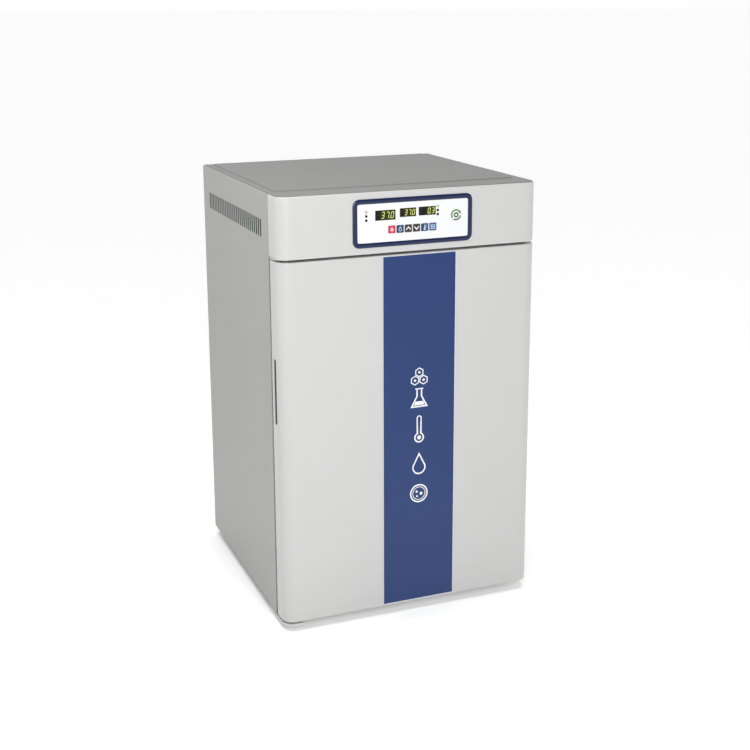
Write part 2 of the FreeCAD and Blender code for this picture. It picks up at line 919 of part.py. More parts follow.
def start_button():
    body = new_body("start_button")
    x, z = size.start_x, size.start_z
    behind = size.front_y + size.key_seat
    front = size.front_y - size.key_height
    stem_start = behind + size.key_lip_thickness
    pad(body, "XZ", front, behind, lambda sketch: circle(sketch, x, z, size.start_radius))
    pad(body, "XZ", behind, stem_start, lambda sketch: circle(
        sketch, x, z, size.start_radius + size.start_lip))
    pad(body, "XZ", stem_start, key_stem_end(), lambda sketch: circle(sketch, x, z, size.key_stem_radius))
    return body


def power_board():
    """Supply board on standoffs above the insulation, with its larger components."""
    deck = size.slab_top + size.standoff_height
    top = deck + size.board_thickness
    left, right, front, rear = size.supply_left, size.supply_right, size.supply_front_y, size.supply_rear_y
    pieces = [block((left, right), (front, rear), (deck, top))]
    corner = 8
    for x in (left + corner, right - corner):
        for y in (front + corner, rear - corner):
            pieces.append(rod(x, y, size.slab_top, 3, size.standoff_height))
    # transformer, relay and terminal block: (left, right), (front, rear) and height above the board
    for across, along, height in (((-230, -175), (80, 135), 45), ((-160, -130), (90, 130), 22),
                                  ((-155, -125), (0, 60), 15)):
        pieces.append(block(across, along, (top, top + height)))
    # two capacitors
    for x in (-215, -180):
        pieces.append(rod(x, 20, top, 11, 30))
    return finished(joined(pieces), "power_board")


# ---------------------------------------------------------------- outer door

def door_top():
    return size.floor_z + size.door_height


def door_back():
    return size.front_y + size.door_depth


def door_shell():
    """Painted steel shell of the door: front, sides, top and bottom, open at the back."""
    body = new_body("door_shell")
    edge, wall = size.front_half_width, size.sheet
    bottom, top = size.floor_z, door_top()
    pad(body, "XY", bottom, top, lambda sketch: rectangle(sketch, -edge, edge, size.front_y, door_back()))
    for side in (-1, 1):
        fillet(body, size.front_radius, upright_at(side * edge, size.front_y))
        fillet(body, size.door_rear_radius, upright_at(side * edge, door_back()))
    for height in (bottom, top):
        level = level_at(height)
        back = door_back().number
        fillet(body, size.soft_edge, lambda box, level=level, back=back: level(box) and box.YMin < back - 1)
    pocket(body, "XY", bottom + wall, top - wall, lambda sketch: rounded_rectangle(
        sketch, -edge + wall, edge - wall, size.front_y + wall, door_back() + 60, size.front_radius - wall))
    half = size.grip_width / 2
    over = size.overshoot
    pocket(body, "YZ", -edge - over, edge + over, lambda sketch: rounded_rectangle(
        sketch, size.grip_y - half, size.grip_y + half, size.grip_bottom, size.grip_top, size.grip_corner))
    pocket(body, "XY", bottom - over, top + over, lambda sketch: circle(
        sketch, size.hinge_x, size.hinge_y, size.bush_radius))
    return body


def door_insulation():
    """Foam block that fills the shell, with room for the grip cups and the hinge bushes."""
    body = new_body("door_insulation")
    over, room = size.overshoot, size.slab_gap
    edge = size.front_half_width - size.sheet - over
    front = size.front_y + size.sheet + room
    back = door_back() - size.sheet - room
    low, high = size.floor_z + size.sheet + room, door_top() - size.sheet - room
    pad(body, "XY", low, high, lambda sketch: rectangle(sketch, -edge, edge, front, back))
    for side in (-1, 1):
        fillet(body, size.front_radius - size.sheet - over, upright_at(side * edge, front))
    reach = size.cup_wall + size.overshoot
    half = size.grip_width / 2 + reach
    cup_end = size.front_half_width - size.sheet - size.grip_depth - reach
    for low, high in ((-edge - over, -cup_end), (cup_end, edge + over)):
        pocket(body, "YZ", low, high, lambda sketch: rectangle(
            sketch, size.grip_y - half, size.grip_y + half, size.grip_bottom - reach, size.grip_top + reach))
    pocket(body, "XY", size.floor_z, door_top(), lambda sketch: circle(
        sketch, size.hinge_x, size.hinge_y, size.bush_radius + size.fit_gap * 2))
    return body


def door_inner_panel():
    body = new_body("door_inner_panel")
    edge = size.front_half_width - size.sheet - size.door_inner_inset
    low, high = size.floor_z + size.sheet + size.slab_gap, door_top() - size.sheet - size.slab_gap
    pad(body, "XZ", door_back() - size.sheet, door_back(), lambda sketch: rounded_rectangle(
        sketch, -edge, edge, low, high, 4))
    return body


def door_gasket():
    """Magnetic rubber seal that closes the gap between the door and the front frame."""
    body = new_body("door_gasket")
    outer, width = size.seal_half_width, size.seal_width

    def ring(sketch):
        rounded_rectangle(sketch, -outer, outer, size.seal_bottom, size.seal_top, 12)
        rounded_rectangle(sketch, -outer + width, outer - width, size.seal_bottom + width,
                          size.seal_top - width, 6)

    pad(body, "XZ", door_back(), size.frame_y - size.seal_squeeze_gap, ring)
    return body


def door_stripe():
    body = new_body("door_stripe")
    pad(body, "XZ", size.front_y - size.stripe_thickness, size.front_y, lambda sketch: rectangle(
        sketch, size.stripe_left, size.stripe_right, size.floor_z + 3.5, door_top() - 2))
    return body


def grip_cups():
    """Moulded finger cups let into both upright edges of the door."""
    half, wall = size.grip_width / 2, size.cup_wall
    edge = size.front_half_width - size.sheet - size.fit_gap
    floor = edge - size.grip_depth
    cups = []
    for side in (-1, 1):
        outer = (-edge, -floor) if side < 0 else (floor, edge)
        hollow = (-edge - wall, -floor - wall) if side < 0 else (floor + wall, edge + wall)
        shell = block(outer, (size.grip_y - half - wall, size.grip_y + half + wall),
                      (size.grip_bottom - wall, size.grip_top + wall))
        space = block(hollow, (size.grip_y - half, size.grip_y + half), (size.grip_bottom, size.grip_top))
        cups.append(less(shell, [space]))
    return group("grip_cups", cups)


def hinge_bushes():
    """Plain bushes pressed into the door's corners; the lower one has a thrust flange."""
    x, y = size.hinge_x, size.hinge_y
    bore = size.hinge_pin_radius + size.running_gap
    length = size.bush_length
    thrust = size.floor_z - size.lower_plate_bottom - size.lower_plate_thickness - size.fit_gap
    lower = joined([rod(x, y, size.floor_z, size.bush_radius, length),
                    rod(x, y, size.floor_z - thrust, size.bush_radius + size.bush_flange, thrust)])
    lower = less(lower, [rod(x, y, 0, bore, size.floor_z + length * 2)])
    upper = less(rod(x, y, door_top() - length, size.bush_radius, length),
                 [rod(x, y, door_top() - length * 2, bore, length * 3)])
    return group("hinge_bushes", [lower, upper])


# ---------------------------------------------------------------- outer door hinge

def lower_screw_places():
    return [size.seam_y + 18, size.seam_y + 34]


def upper_screw_places():
    return [size.front_y + 36, size.front_y + 48]


def hinge_plate(bottom, top, front, rear, screw_places, seat_top=None):
    """Flat bracket whose front corner follows the door's rounded corner.

    A seat_top adds a step at the rear, up to the sheet that the plate is screwed to.
    """
    body = doc.addObject("PartDesign::Body", "hinge_plate")
    left = -size.front_half_width
    right = left + size.plate_width
    pad(body, "XY", bottom, top, lambda sketch: rectangle(sketch, left, right, front, rear))
    fillet(body, size.front_radius - size.overshoot, upright_at(left, front))
    if seat_top is not None:
        pad(body, "XY", top, seat_top, lambda sketch: rectangle(
            sketch, left + size.pan_inset, right, size.lower_plate_seat_y, rear))
        top = seat_top

    def holes(sketch):
        circle(sketch, size.hinge_x, size.hinge_y, size.hinge_pin_radius)
        for y in screw_places:
            circle(sketch, size.hinge_x - size.plate_screw_inset, y, size.plate_screw_radius)

    pocket(body, "XY", bottom - size.overshoot, top + size.overshoot, holes)
    return body


def hinge_plates():
    """Lower plate under the cabinet's corner and upper plate under the head."""
    low = size.lower_plate_bottom
    lower = hinge_plate(low, low + size.lower_plate_thickness, size.front_y,
                        size.front_y + size.lower_plate_length, lower_screw_places(),
                        size.floor_z - size.pan_thickness)
    high = size.head_bottom
    upper = hinge_plate(high - size.upper_plate_thickness, high, size.front_y + size.upper_plate_setback,
                        size.seam_y - 2, upper_screw_places())
    return group("hinge_plates", [lower, upper])


def hinge_pins():
    """Lower and upper pins, pressed into their plates and running in the door's bushes."""
    x, y = size.hinge_x, size.hinge_y
    lower = rod(x, y, size.lower_plate_bottom, size.hinge_pin_radius, size.pin_length)
    upper = rod(x, y, size.head_bottom - size.pin_length, size.hinge_pin_radius, size.pin_length)
    return group("hinge_pins", [lower, upper])


def hinge_screws():
    """Screws that hold the hinge plates to the base pan and to the head."""
    x, radius, head = size.hinge_x - size.plate_screw_inset, size.plate_screw_radius, size.plate_screw_head
    bottom = size.lower_plate_bottom
    lower = []
    for y in lower_screw_places():
        shank = rod(x, y, bottom, radius, size.floor_z - bottom)
        lower.append(joined([taper(x, y, bottom - head, radius * 1.4, radius * 1.8, head), shank]))
    upper = []
    length = size.upper_plate_thickness + size.head_wall
    for y in upper_screw_places():
        upper.append(rod(x, y, size.head_bottom - size.upper_plate_thickness, radius, length))
    return lower + upper


# ---------------------------------------------------------------- chamber

def chamber_top():
    return size.chamber_floor + size.chamber_height


def chamber_back():
    return size.frame_y + size.frame_depth + size.chamber_depth


def chamber_front():
    return size.frame_y + size.frame_depth


def roof_bores():
    """(x, y, radius) of what passes through the roof: fan shaft, two sensors and gas tube."""
    return [(as_size(0), size.fan_y, size.roof_bore_radius),
            (size.sensor_x, size.sensor_y, size.gas_sensor_radius),
            (-size.sensor_x, size.sensor_y, size.probe_radius),
            (size.gas_x, size.tube_drop_y, size.hose_radius)]


def chamber_liner():
    """Stainless box with rounded corners and a flange round its mouth."""
    body = new_body("chamber_liner")
    wall = size.sheet
    inner = size.chamber_half_width
    front, back = chamber_front(), chamber_back()
    bottom, top = size.chamber_floor, chamber_top()
    pad(body, "XZ", front, back + wall, lambda sketch: rounded_rectangle(
        sketch, -inner - wall, inner + wall, bottom - wall, top + wall, size.chamber_radius + wall))
    rim = size.chamber_half_width + size.rim_width
    pad(body, "XZ", front, front + wall, lambda sketch: rounded_rectangle(
        sketch, -rim, rim, bottom - size.rim_width, top + size.rim_width, 10))
    over, gap = size.overshoot, size.fit_gap * 2
    pocket(body, "XZ", front - over, back, lambda sketch: rounded_rectangle(
        sketch, -inner, inner, bottom, top, size.chamber_radius))

    def roof_holes(sketch):
        for x, y, radius in roof_bores():
            circle(sketch, x, y, radius + gap)

    pocket(body, "XY", top - over, top + wall + over, roof_holes)
    pocket(body, "XZ", back - over, back + wall + over, lambda sketch: circle(
        sketch, size.port_x, size.port_z, size.port_radius + gap))
    return body


def heater_foils():
    """Flat heating foils stuck to the outside of the liner."""
    wall, foil = size.sheet, size.foil
    side = size.chamber_half_width + wall
    top = chamber_top() + wall
    bottom = size.chamber_floor - wall
    back = chamber_back() + wall
    along = (size.foil_front_y, -size.foil_front_y - 30)
    height = (size.foil_bottom, size.foil_top)
    across = (-along[1], along[1])
    pieces = [
        block((-side - foil, -side), along, height),
        block((side, side + foil), along, height),
        block((size.port_x + 50, along[1]), (back, back + foil), height),
        block(across, along, (bottom - foil, bottom)),
        block(across, (size.foil_front_y, -30), (top, top + foil)),
    ]
    return group("heater_foils", pieces)


def chamber_insulation():
    """Foam slabs on the five closed sides of the chamber."""
    fit, room = size.fit_gap, size.slab_gap
    gap = size.sheet + size.foil + fit
    inner = size.chamber_half_width + gap + room
    outer = size.cabinet_half_width - size.post_inset - size.post_width - size.overshoot
    front = chamber_front() + size.sheet + fit
    back = chamber_back() + gap
    rear = size.rear_y - size.sheet - size.post_width - size.rack_gap
    roof = chamber_top() + gap
    floor = size.chamber_floor - gap
    low, high = floor - size.slab_reach_down, size.slab_top - size.side_slab_drop
    across = (-inner + fit, inner - fit)
    deep = size.slab_top - roof + size.overshoot * 2
    slabs = [
        block((-outer, -inner), (front, rear), (low, high)),
        block((inner, outer), (front, rear), (low, high)),
        less(block(across, (back, rear), (low, high)), [
            rod(size.port_x, back - fit, size.port_z, size.port_radius + fit * 3,
                rear - back + fit * 2, "y")]),
        block(across, (front, back - fit), (floor - size.floor_slab_thickness, floor)),
        less(block(across, (front, back - fit), (roof, size.slab_top)), [
            rod(x, y, roof - size.overshoot, radius + fit * 4, deep) for x, y, radius in roof_bores()]),
    ]
    return group("chamber_insulation", slabs)


def shelf_levels():
    return [size.shelf_lowest + size.shelf_spacing * i for i in range(3)]


def shelf_rack(side):
    """Upright sheet with round windows, three ledges and four wall studs."""
    outer = size.chamber_half_width - size.rack_gap
    plate = outer - size.sheet
    ledge = plate - size.ledge_width
    span = (lambda low, high: (-high, -low)) if side < 0 else (lambda low, high: (low, high))
    front, rear = size.shelf_front_y, size.shelf_rear_y
    margin, stud = size.stud_radius, size.stud_length
    pieces = [block(span(plate, outer), (front - margin, rear + margin), (size.rack_bottom, size.rack_top))]
    for level in shelf_levels():
        pieces.append(block(span(ledge, plate), (front + margin, rear - margin), (level - size.sheet, level)))
    stud_x = -outer - stud if side < 0 else outer
    for y in (front + margin * 3, rear - margin * 3):
        for z in (size.rack_bottom + margin * 5, size.rack_top - margin * 2.5):
            pieces.append(rod(stud_x, y, z, margin, stud, "x"))
    windows = []
    first = size.shelf_lowest - size.shelf_spacing / 2
    for row in range(4):
        for column in range(5):
            height = first + size.shelf_spacing * row
            start = plate if side > 0 else -outer
            centre = size.rack_window_first_y + size.rack_window_pitch * column
            windows.append(rod(start - size.overshoot, centre, height, size.rack_window_radius,
                               size.sheet + size.overshoot * 2, "x"))
    return less(joined(pieces), windows)


def shelf_racks():
    return group("shelf_racks", [shelf_rack(-1), shelf_rack(1)])


def shelf(label, level):
    """Perforated tray shelf with a low rim."""
    body = new_body(label)
    edge = size.shelf_half_width
    rest = level + size.fit_gap
    front, rear = size.shelf_front_y, size.shelf_rear_y
    pad(body, "XY", rest, rest + size.shelf_height, lambda sketch: rounded_rectangle(
        sketch, -edge, edge, front, rear, size.shelf_corner))
    wall, over = size.sheet, size.overshoot
    pocket(body, "XY", rest + wall, rest + size.shelf_height + over, lambda sketch: rounded_rectangle(
        sketch, -edge + wall, edge - wall, front + wall, rear - wall, size.shelf_corner - wall))

    def column_of_holes(sketch):
        for i in range(9):
            centre = front + size.hole_setback + size.hole_pitch_y * i
            circle(sketch, size.hole_first_x, centre, size.hole_radius)

    holes = pocket(body, "XY", rest - over, rest + wall + over, column_of_holes)
    row_pattern(body, holes, "X", size.hole_pitch_x, 11)
    return body


def water_tray():
    """Open pan for the humidifying water."""
    body = new_body("water_tray")
    floor = size.chamber_floor + size.fit_gap * 2
    wall, edge = size.sheet, size.tray_half_width
    top = floor + size.tray_depth
    front, rear = size.tray_front_y, size.tray_rear_y
    pad(body, "XY", floor, top, lambda sketch: rounded_rectangle(
        sketch, -edge, edge, front, rear, size.tray_corner))
    pocket(body, "XY", floor + wall, top + size.overshoot, lambda sketch: rounded_rectangle(
        sketch, -edge + wall, edge - wall, front + wall, rear - wall, size.tray_inner_corner))
    return body


def plenum_cover():
    """Duct pan under the roof of the chamber: intake in the middle, outlets at the front."""
    body = new_body("plenum_cover")
    bottom = size.plenum_bottom
    top = chamber_top() - size.slab_gap
    edge, front, rear, wall = size.plenum_half_width, size.plenum_front_y, size.plenum_rear_y, size.sheet
    over = size.overshoot
    pad(body, "XY", bottom, top, lambda sketch: rectangle(sketch, -edge, edge, front, rear))
    pocket(body, "XY", bottom + wall, top + over, lambda sketch: rectangle(
        sketch, -edge + wall, edge - wall, front + wall, rear - wall))
    pocket(body, "XY", bottom - over, bottom + wall + over, lambda sketch: circle(
        sketch, 0, size.fan_y, size.plenum_intake_radius))
    slot = pocket(body, "XZ", front - over, front + wall + over, lambda sketch: rounded_rectangle(
        sketch, -150, -120, bottom + 12, bottom + 24, 5.9))
    row_pattern(body, slot, "X", size.outlet_pitch, 6)
    return body


def hepa_filter():
    """Round cartridge under the fan's intake."""
    body = new_body("hepa_filter")
    place(body, 0, size.fan_y, 0)
    top = size.plenum_bottom - size.fit_gap
    rim, bottom = size.filter_radius, top - size.filter_height
    turned(body, [(0, bottom), (rim - 8, bottom), (rim - 8, bottom + 3), (rim - 4, bottom + 3),
                  (rim - 4, top - 4), (rim, top - 4), (rim, top), (0, top)])
    return body


def fan_motor():
    """Motor on top of the roof insulation; its bore carries the impeller's shaft."""
    body = new_body("fan_motor")
    place(body, 0, size.fan_y, 0)
    bore = size.shaft_radius + size.running_gap
    seat = size.slab_top
    flange, case, top = size.motor_flange_radius, size.motor_radius, seat + size.motor_height
    turned(body, [(bore, seat), (flange, seat), (flange, seat + 3), (case, seat + 3), (case, top), (0, top),
                  (0, top - 10), (bore, top - 10)])
    return body


def fan_impeller():
    """Backplate, hub and shaft turned in one piece, with straight radial blades."""
    body = new_body("fan_impeller")
    place(body, 0, size.fan_y, 0)
    low = size.fan_bottom
    disc = low + 18
    shaft_end = size.slab_top + size.motor_height - 13
    shaft, hub, plate = size.shaft_radius, size.hub_radius, disc + size.fan_plate
    turned(body, [(0, low), (hub, low), (hub, disc), (size.fan_radius, disc), (size.fan_radius, plate),
                  (hub - 2, plate), (hub - 2, disc + 5), (shaft, disc + 5), (shaft, shaft_end),
                  (0, shaft_end)])
    half = size.blade_thickness / 2
    blade = pad(body, "XY", low + 1, disc + 0.5, lambda sketch: rectangle(
        sketch, hub - 2, size.fan_radius - 2, -half, half))
    doc.recompute()
    ring = body.newObject("PartDesign::PolarPattern", "ring")
    ring.Originals = [blade]
    ring.Axis = (origin_feature(body, "Z_Axis"), [""])
    ring.Angle = 360
    ring.Occurrences = 9
    body.Tip = ring
    return body


def roof_sensor(label, x, stem, head):
    """Stem through the roof into the air stream, with a head on top of the insulation."""
    seat = size.slab_top
    tip = size.plenum_bottom + 6
    pieces = [rod(x, size.sensor_y, tip, stem, seat - tip),
              rod(x, size.sensor_y, seat, head, size.sensor_cap_height)]
    return finished(joined(pieces), label)


# ---------------------------------------------------------------- inner glass door

def leaf_heights():
    return [size.lower_leaf, size.upper_leaf]


def glass_pane():
    body = new_body("glass_pane")
    front = size.glass_front_y
    pad(body, "XZ", front, front + size.glass_thickness, lambda sketch: rounded_rectangle(
        sketch, size.glass_left, size.glass_right, size.glass_bottom, size.glass_top, 8))
    return body


def glass_gasket():
    body = new_body("glass_gasket")
    over, width = size.overshoot, size.glass_gasket_width
    inner = size.chamber_half_width + over
    bottom, top = size.chamber_floor - over, chamber_top() + over

    def ring(sketch):
        rounded_rectangle(sketch, -inner - width, inner + width, bottom - width, top + width, 24)
        rounded_rectangle(sketch, -inner, inner, bottom, top, 18)

    pad(body, "XZ", size.glass_front_y + size.glass_thickness, chamber_front() - size.seal_squeeze_gap, ring)
    return body


def glass_hinge_leaves():
    """Barrels that turn on the bracket pins, each with a leaf over the pane's edge."""
    x, y, front = size.glass_hinge_x, size.glass_hinge_y, size.glass_front_y
    leaves = []
    for height in leaf_heights():
        over = size.overshoot
        barrel = rod(x, y, height, size.barrel_radius, size.leaf_length)
        leaf = block((x, x + size.leaf_reach), (front - size.leaf_thickness, front),
                     (height, height + size.leaf_length))
        bore = rod(x, y, height - over, size.glass_pin_radius + size.running_gap, size.leaf_length + over * 2)
        leaves.append(less(joined([barrel, leaf]), [bore]))
    return group("glass_hinge_leaves", leaves)


def glass_hinge_brackets():
    """Fixed ears above and below each barrel, joined by the hinge pin."""
    x, y = size.glass_hinge_x, size.glass_hinge_y
    brackets = []
    reach = size.ear_height + size.ear_gap
    for height in leaf_heights():
        ears = []
        for low in (height - reach, height + size.leaf_length + size.ear_gap):
            ears.append(block((x - 5, x + 4), (y - size.barrel_radius, chamber_front()),
                              (low, low + size.ear_height)))
        pin = rod(x, y, height - reach, size.glass_pin_radius, size.leaf_length + reach * 2)
        brackets.append(joined(ears + [pin]))
    return group("glass_hinge_brackets", brackets)


def glass_door_knob():
    front = size.glass_front_y
    x, z, radius = size.knob_x, size.knob_z, size.knob_radius
    stem = rod(x, front - 2, z, radius / 2, 2, "y")
    cap = taper(x, front - 5, z, radius - 2, radius, 3, "y")
    return finished(joined([stem, cap]), "glass_door_knob")


def glass_door_catch():
    """Magnet behind the free edge of the pane."""
    back = size.glass_front_y + size.glass_thickness
    left = size.chamber_half_width + size.glass_gasket_width + 2
    depth = (back + size.key_gap, chamber_front())
    height = (size.knob_z - 20, size.knob_z + 20)
    return finished(block((left, left + 8.5), depth, height), "glass_door_catch")


# ---------------------------------------------------------------- rear fittings

def gas_inlet():
    """Hose spigot on the rear cover."""
    x, z, rear = size.gas_x, size.gas_z, size.rear_y
    depth, end = size.spigot_neck_length, size.fitting_end_y - size.overshoot
    base = rod(x, rear, z, size.spigot_base_radius, 4, "y")
    spigot = rod(x, rear + 4, z, size.hose_radius, end - rear - 4, "y")
    tip = taper(x, end, z, size.hose_radius, size.hose_radius - 0.7, size.overshoot, "y")
    neck = rod(x, rear - depth, z, size.spigot_neck_radius, depth, "y")
    bore = rod(x, rear - depth - size.overshoot, z, size.spigot_bore, depth * 2, "y")
    return finished(less(joined([base, spigot, tip, neck]), [bore]), "gas_inlet")


def gas_valve():
    """Solenoid valve behind the gas inlet."""
    x, z = size.gas_x, size.gas_z
    back = size.rear_y - size.spigot_neck_length
    body = block((x - 13, x + 13), (back - size.valve_length, back), (z - 15, z + 10))
    coil = rod(x, back - size.valve_length / 2, z + 10, 12, 28)
    return finished(joined([body, coil]), "gas_valve")


def gas_tube():
    """Tube from the valve, over the insulation and down through the roof."""
    body = new_body("gas_tube")
    place(body, size.gas_x, 0, 0)
    start = size.rear_y - size.spigot_neck_length - size.valve_length
    drop_y, bend = size.tube_drop_y, size.tube_bend
    end_z = chamber_top() - 8
    route = new_sketch(body, "YZ")
    heading = [(start, size.gas_z), (drop_y + bend, size.gas_z), (drop_y, size.gas_z - bend), (drop_y, end_z)]
    points = [FreeCAD.Vector(y.number, z.number, 0) for y, z in heading]
    centre = FreeCAD.Vector(points[1].x, points[2].y, 0)
    level = route.addGeometry(Part.LineSegment(points[0], points[1]))
    corner = Part.Circle(centre, AXES["z"], bend.number)
    elbow = route.addGeometry(Part.ArcOfCircle(corner, math.pi / 2, math.pi))
    drop = route.addGeometry(Part.LineSegment(points[2], points[3]))
    route.addConstraint(Sketcher.Constraint("Tangent", level, 2, elbow, 1))
    route.addConstraint(Sketcher.Constraint("Tangent", elbow, 2, drop, 1))
    route.addConstraint(Sketcher.Constraint("Horizontal", level))
    route.addConstraint(Sketcher.Constraint("Vertical", drop))
    dimension(route, "Radius", (elbow,), bend)
    locate(route, level, 1, *heading[0])
    locate(route, drop, 2, *heading[3])
    section = new_sketch(body, "XZ", -start)
    circle(section, 0, size.gas_z, size.hose_radius)
    tube = body.newObject("PartDesign::AdditivePipe", "tube")
    tube.Profile = section
    tube.Spine = (route, [])
    return body


def mains_inlet():
    """Recessed appliance inlet with three contact blades."""
    x, z, rear = size.inlet_x, size.mains_z, size.rear_y
    wide, high, wall = size.inlet_half_width, size.inlet_half_height, size.sheet * 1.5
    flange = block((x - wide - 11, x + wide + 11), (rear, rear + 2), (z - high - 4, z + high + 4))
    case = block((x - wide, x + wide), (rear - size.inlet_depth, rear), (z - high, z + high))
    recess = block((x - wide + wall, x + wide - wall), (rear - size.inlet_depth + 4, rear + 3),
                   (z - high + wall, z + high - wall))
    blades = [block((x + step - 1, x + step + 1), (rear - 20, rear - 2), (z, z + 5)) for step in (-7, 0, 7)]
    return finished(joined([less(joined([flange, case]), [recess])] + blades), "mains_inlet")


def switch_housing():
    x, z, rear = size.switch_x, size.mains_z, size.rear_y
    wide, high, depth = size.switch_case_half_width, size.switch_case_half_height, size.switch_depth
    bezel = block((x - wide - 2, x + wide + 2), (rear, rear + 2), (z - high - 3, z + high + 3))
    case = block((x - wide, x + wide), (rear - depth, rear), (z - high, z + high))
    hollow = block((x - wide + 2, x + wide - 2), (rear - depth + 2, rear + 3), (z - high + 1, z + high - 1))
    pivot = rod(x - wide + 0.5, rear - size.rocker_pivot_depth, z,
                size.rocker_pivot_radius + size.running_gap, wide * 2 - 1, "x")
    return finished(less(joined([bezel, case]), [hollow, pivot]), "switch_housing")


def switch_rocker():
    """Rocker on two stub pivots, resting with its lower end out."""
    body = new_body("switch_rocker")
    tilt = FreeCAD.Rotation(AXES["x"], -9)
    place(body, size.switch_x, size.rear_y - size.rocker_pivot_depth, size.mains_z, tilt)
    half = size.rocker_half_width
    pad(body, "YZ", -half, half, lambda sketch: polygon(
        sketch, [(-6, -4), (3, -11.2), (6.4, -11.2), (4.2, 0), (6.4, 11.2), (3, 11.2), (-6, 4)]))
    reach = size.switch_case_half_width - 0.7
    pad(body, "YZ", -reach, reach, lambda sketch: circle(sketch, 0, 0, size.rocker_pivot_radius))
    return body


def access_port():
    """Flanged tube through the rear wall for cables and probes."""
    x, z, rear, back = size.port_x, size.port_z, size.rear_y, chamber_back()
    tube = rod(x, back, z, size.port_radius, rear - back, "y")
    flange = rod(x, rear, z, size.port_radius + size.port_flange, size.port_flange_thickness, "y")
    bore = rod(x, back - size.overshoot, z, size.port_bore, rear - back + size.port_flange, "y")
    return finished(less(joined([tube, flange]), [bore]), "access_port")


def port_plug():
    """Soft stopper that pulls out of the access port."""
    x, z, face = size.port_x, size.port_z, size.rear_y + size.port_flange_thickness
    bore = size.port_bore
    stem = rod(x, face - size.plug_length, z, bore - size.running_gap, size.plug_length, "y")
    neck = rod(x, face, z, bore - size.overshoot, size.fit_gap * 2, "y")
    cap = taper(x, face + size.fit_gap, z, bore + 4, bore + 2, 7, "y")
    return finished(joined([stem, neck, cap]), "port_plug")


# ---------------------------------------------------------------- the whole incubator

def build():
    side_panel(-1, "left_side_panel")
    side_panel(1, "right_side_panel")
    rear_cover()
    base_pan()
    cabinet_frame()
    front_frame()
    top_cover()
    feet()
    control_housing()
    panel_bezel()
    panel_face()
    display_modules()
    indicator_lamps()
    display_board()
    power_board()
    key_names = ["mute_key", "set_key", "up_key", "down_key", "mode_key", "fan_key"]
    for label, x in zip(key_names, key_places()):
        key(label, x)
    start_button()
    door_shell()
    door_insulation()
    door_inner_panel()
    door_gasket()
    door_stripe()
    grip_cups()
    hinge_bushes()
    hinge_plates()
    hinge_pins()
    group("screws", rear_cover_screws() + hinge_screws())
    chamber_liner()
    heater_foils()
    chamber_insulation()
    shelf_racks()
    for label, level in zip(("lower_shelf", "middle_shelf", "upper_shelf"), shelf_levels()):
        shelf(label, level)
    water_tray()
    plenum_cover()
    hepa_filter()
    fan_motor()
    fan_impeller()
    roof_sensor("carbon_dioxide_sensor", size.sensor_x, size.gas_sensor_radius, size.gas_sensor_cap)
    roof_sensor("temperature_probe", -size.sensor_x, size.probe_radius, size.probe_cap)
    glass_pane()
    glass_gasket()
    glass_hinge_leaves()
    glass_hinge_brackets()
    glass_door_knob()
    glass_door_catch()
    gas_inlet()
    gas_valve()
    gas_tube()
    mains_inlet()
    switch_housing()
    switch_rocker()
    access_port()
    port_plug()


def check():
    """Stops if an object failed to compute or a sub-part has no valid solid."""
    doc.recompute()
    for item in doc.Objects:
        if "Invalid" in item.State or "Error" in item.State:
            raise RuntimeError(f"{item.Label} failed: {item.State}")
    for node in nodes:
        if node.Shape.isNull() or not node.Shape.isValid() or not node.Shape.Solids:
            raise RuntimeError(f"{node.Label} has no valid solid")


def export():
    os.makedirs("parts", exist_ok=True)
    for node in nodes:
        node.Shape.exportStep(f"parts/{node.Label}.step")
        box = node.Shape.BoundBox
        print(f"{node.Label}: {len(node.Shape.Solids)} solid(s), "
              f"x {box.XMin:.1f}..{box.XMax:.1f}, y {box.YMin:.1f}..{box.YMax:.1f}, "
              f"z {box.ZMin:.1f}..{box.ZMax:.1f}, {node.Shape.Volume / 1000:.1f} cm3")


build()
check()
export()
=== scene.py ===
import json
import math

import bmesh
import bpy
from mathutils import Matrix, Vector


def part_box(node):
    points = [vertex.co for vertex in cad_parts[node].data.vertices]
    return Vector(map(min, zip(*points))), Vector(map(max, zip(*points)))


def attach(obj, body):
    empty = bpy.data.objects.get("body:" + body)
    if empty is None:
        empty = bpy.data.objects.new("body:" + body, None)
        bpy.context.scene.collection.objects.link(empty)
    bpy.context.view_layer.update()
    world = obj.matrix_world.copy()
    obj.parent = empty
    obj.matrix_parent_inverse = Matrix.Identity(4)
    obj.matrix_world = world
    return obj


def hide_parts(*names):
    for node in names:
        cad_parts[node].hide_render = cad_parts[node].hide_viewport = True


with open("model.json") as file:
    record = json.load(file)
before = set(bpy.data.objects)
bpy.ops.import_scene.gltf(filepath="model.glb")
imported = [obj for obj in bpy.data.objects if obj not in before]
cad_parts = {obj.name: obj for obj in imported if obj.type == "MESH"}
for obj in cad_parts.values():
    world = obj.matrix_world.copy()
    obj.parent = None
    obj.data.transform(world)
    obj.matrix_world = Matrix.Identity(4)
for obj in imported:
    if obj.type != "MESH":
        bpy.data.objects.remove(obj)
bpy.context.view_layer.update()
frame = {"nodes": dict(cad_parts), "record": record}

# Laboratory incubator in metres, in the CAD frame: -Y is the front, Z is up.
MM = 0.001


# ---------------------------------------------------------------- materials

def new_material(name):
    """A material with an empty node tree around one Principled shader."""
    material = bpy.data.materials.new(name)
    material.use_nodes = True
    tree = material.node_tree
    shader = tree.nodes["Principled BSDF"]
    return material, tree, shader


def object_coordinates(tree, stretch=(1, 1, 1)):
    """Object-space position, stretched so that grain can run along one axis."""
    position = tree.nodes.new("ShaderNodeTexCoord")
    mapping = tree.nodes.new("ShaderNodeMapping")
    mapping.inputs["Scale"].default_value = stretch
    tree.links.new(position.outputs["Object"], mapping.inputs["Vector"])
    return mapping.outputs["Vector"]


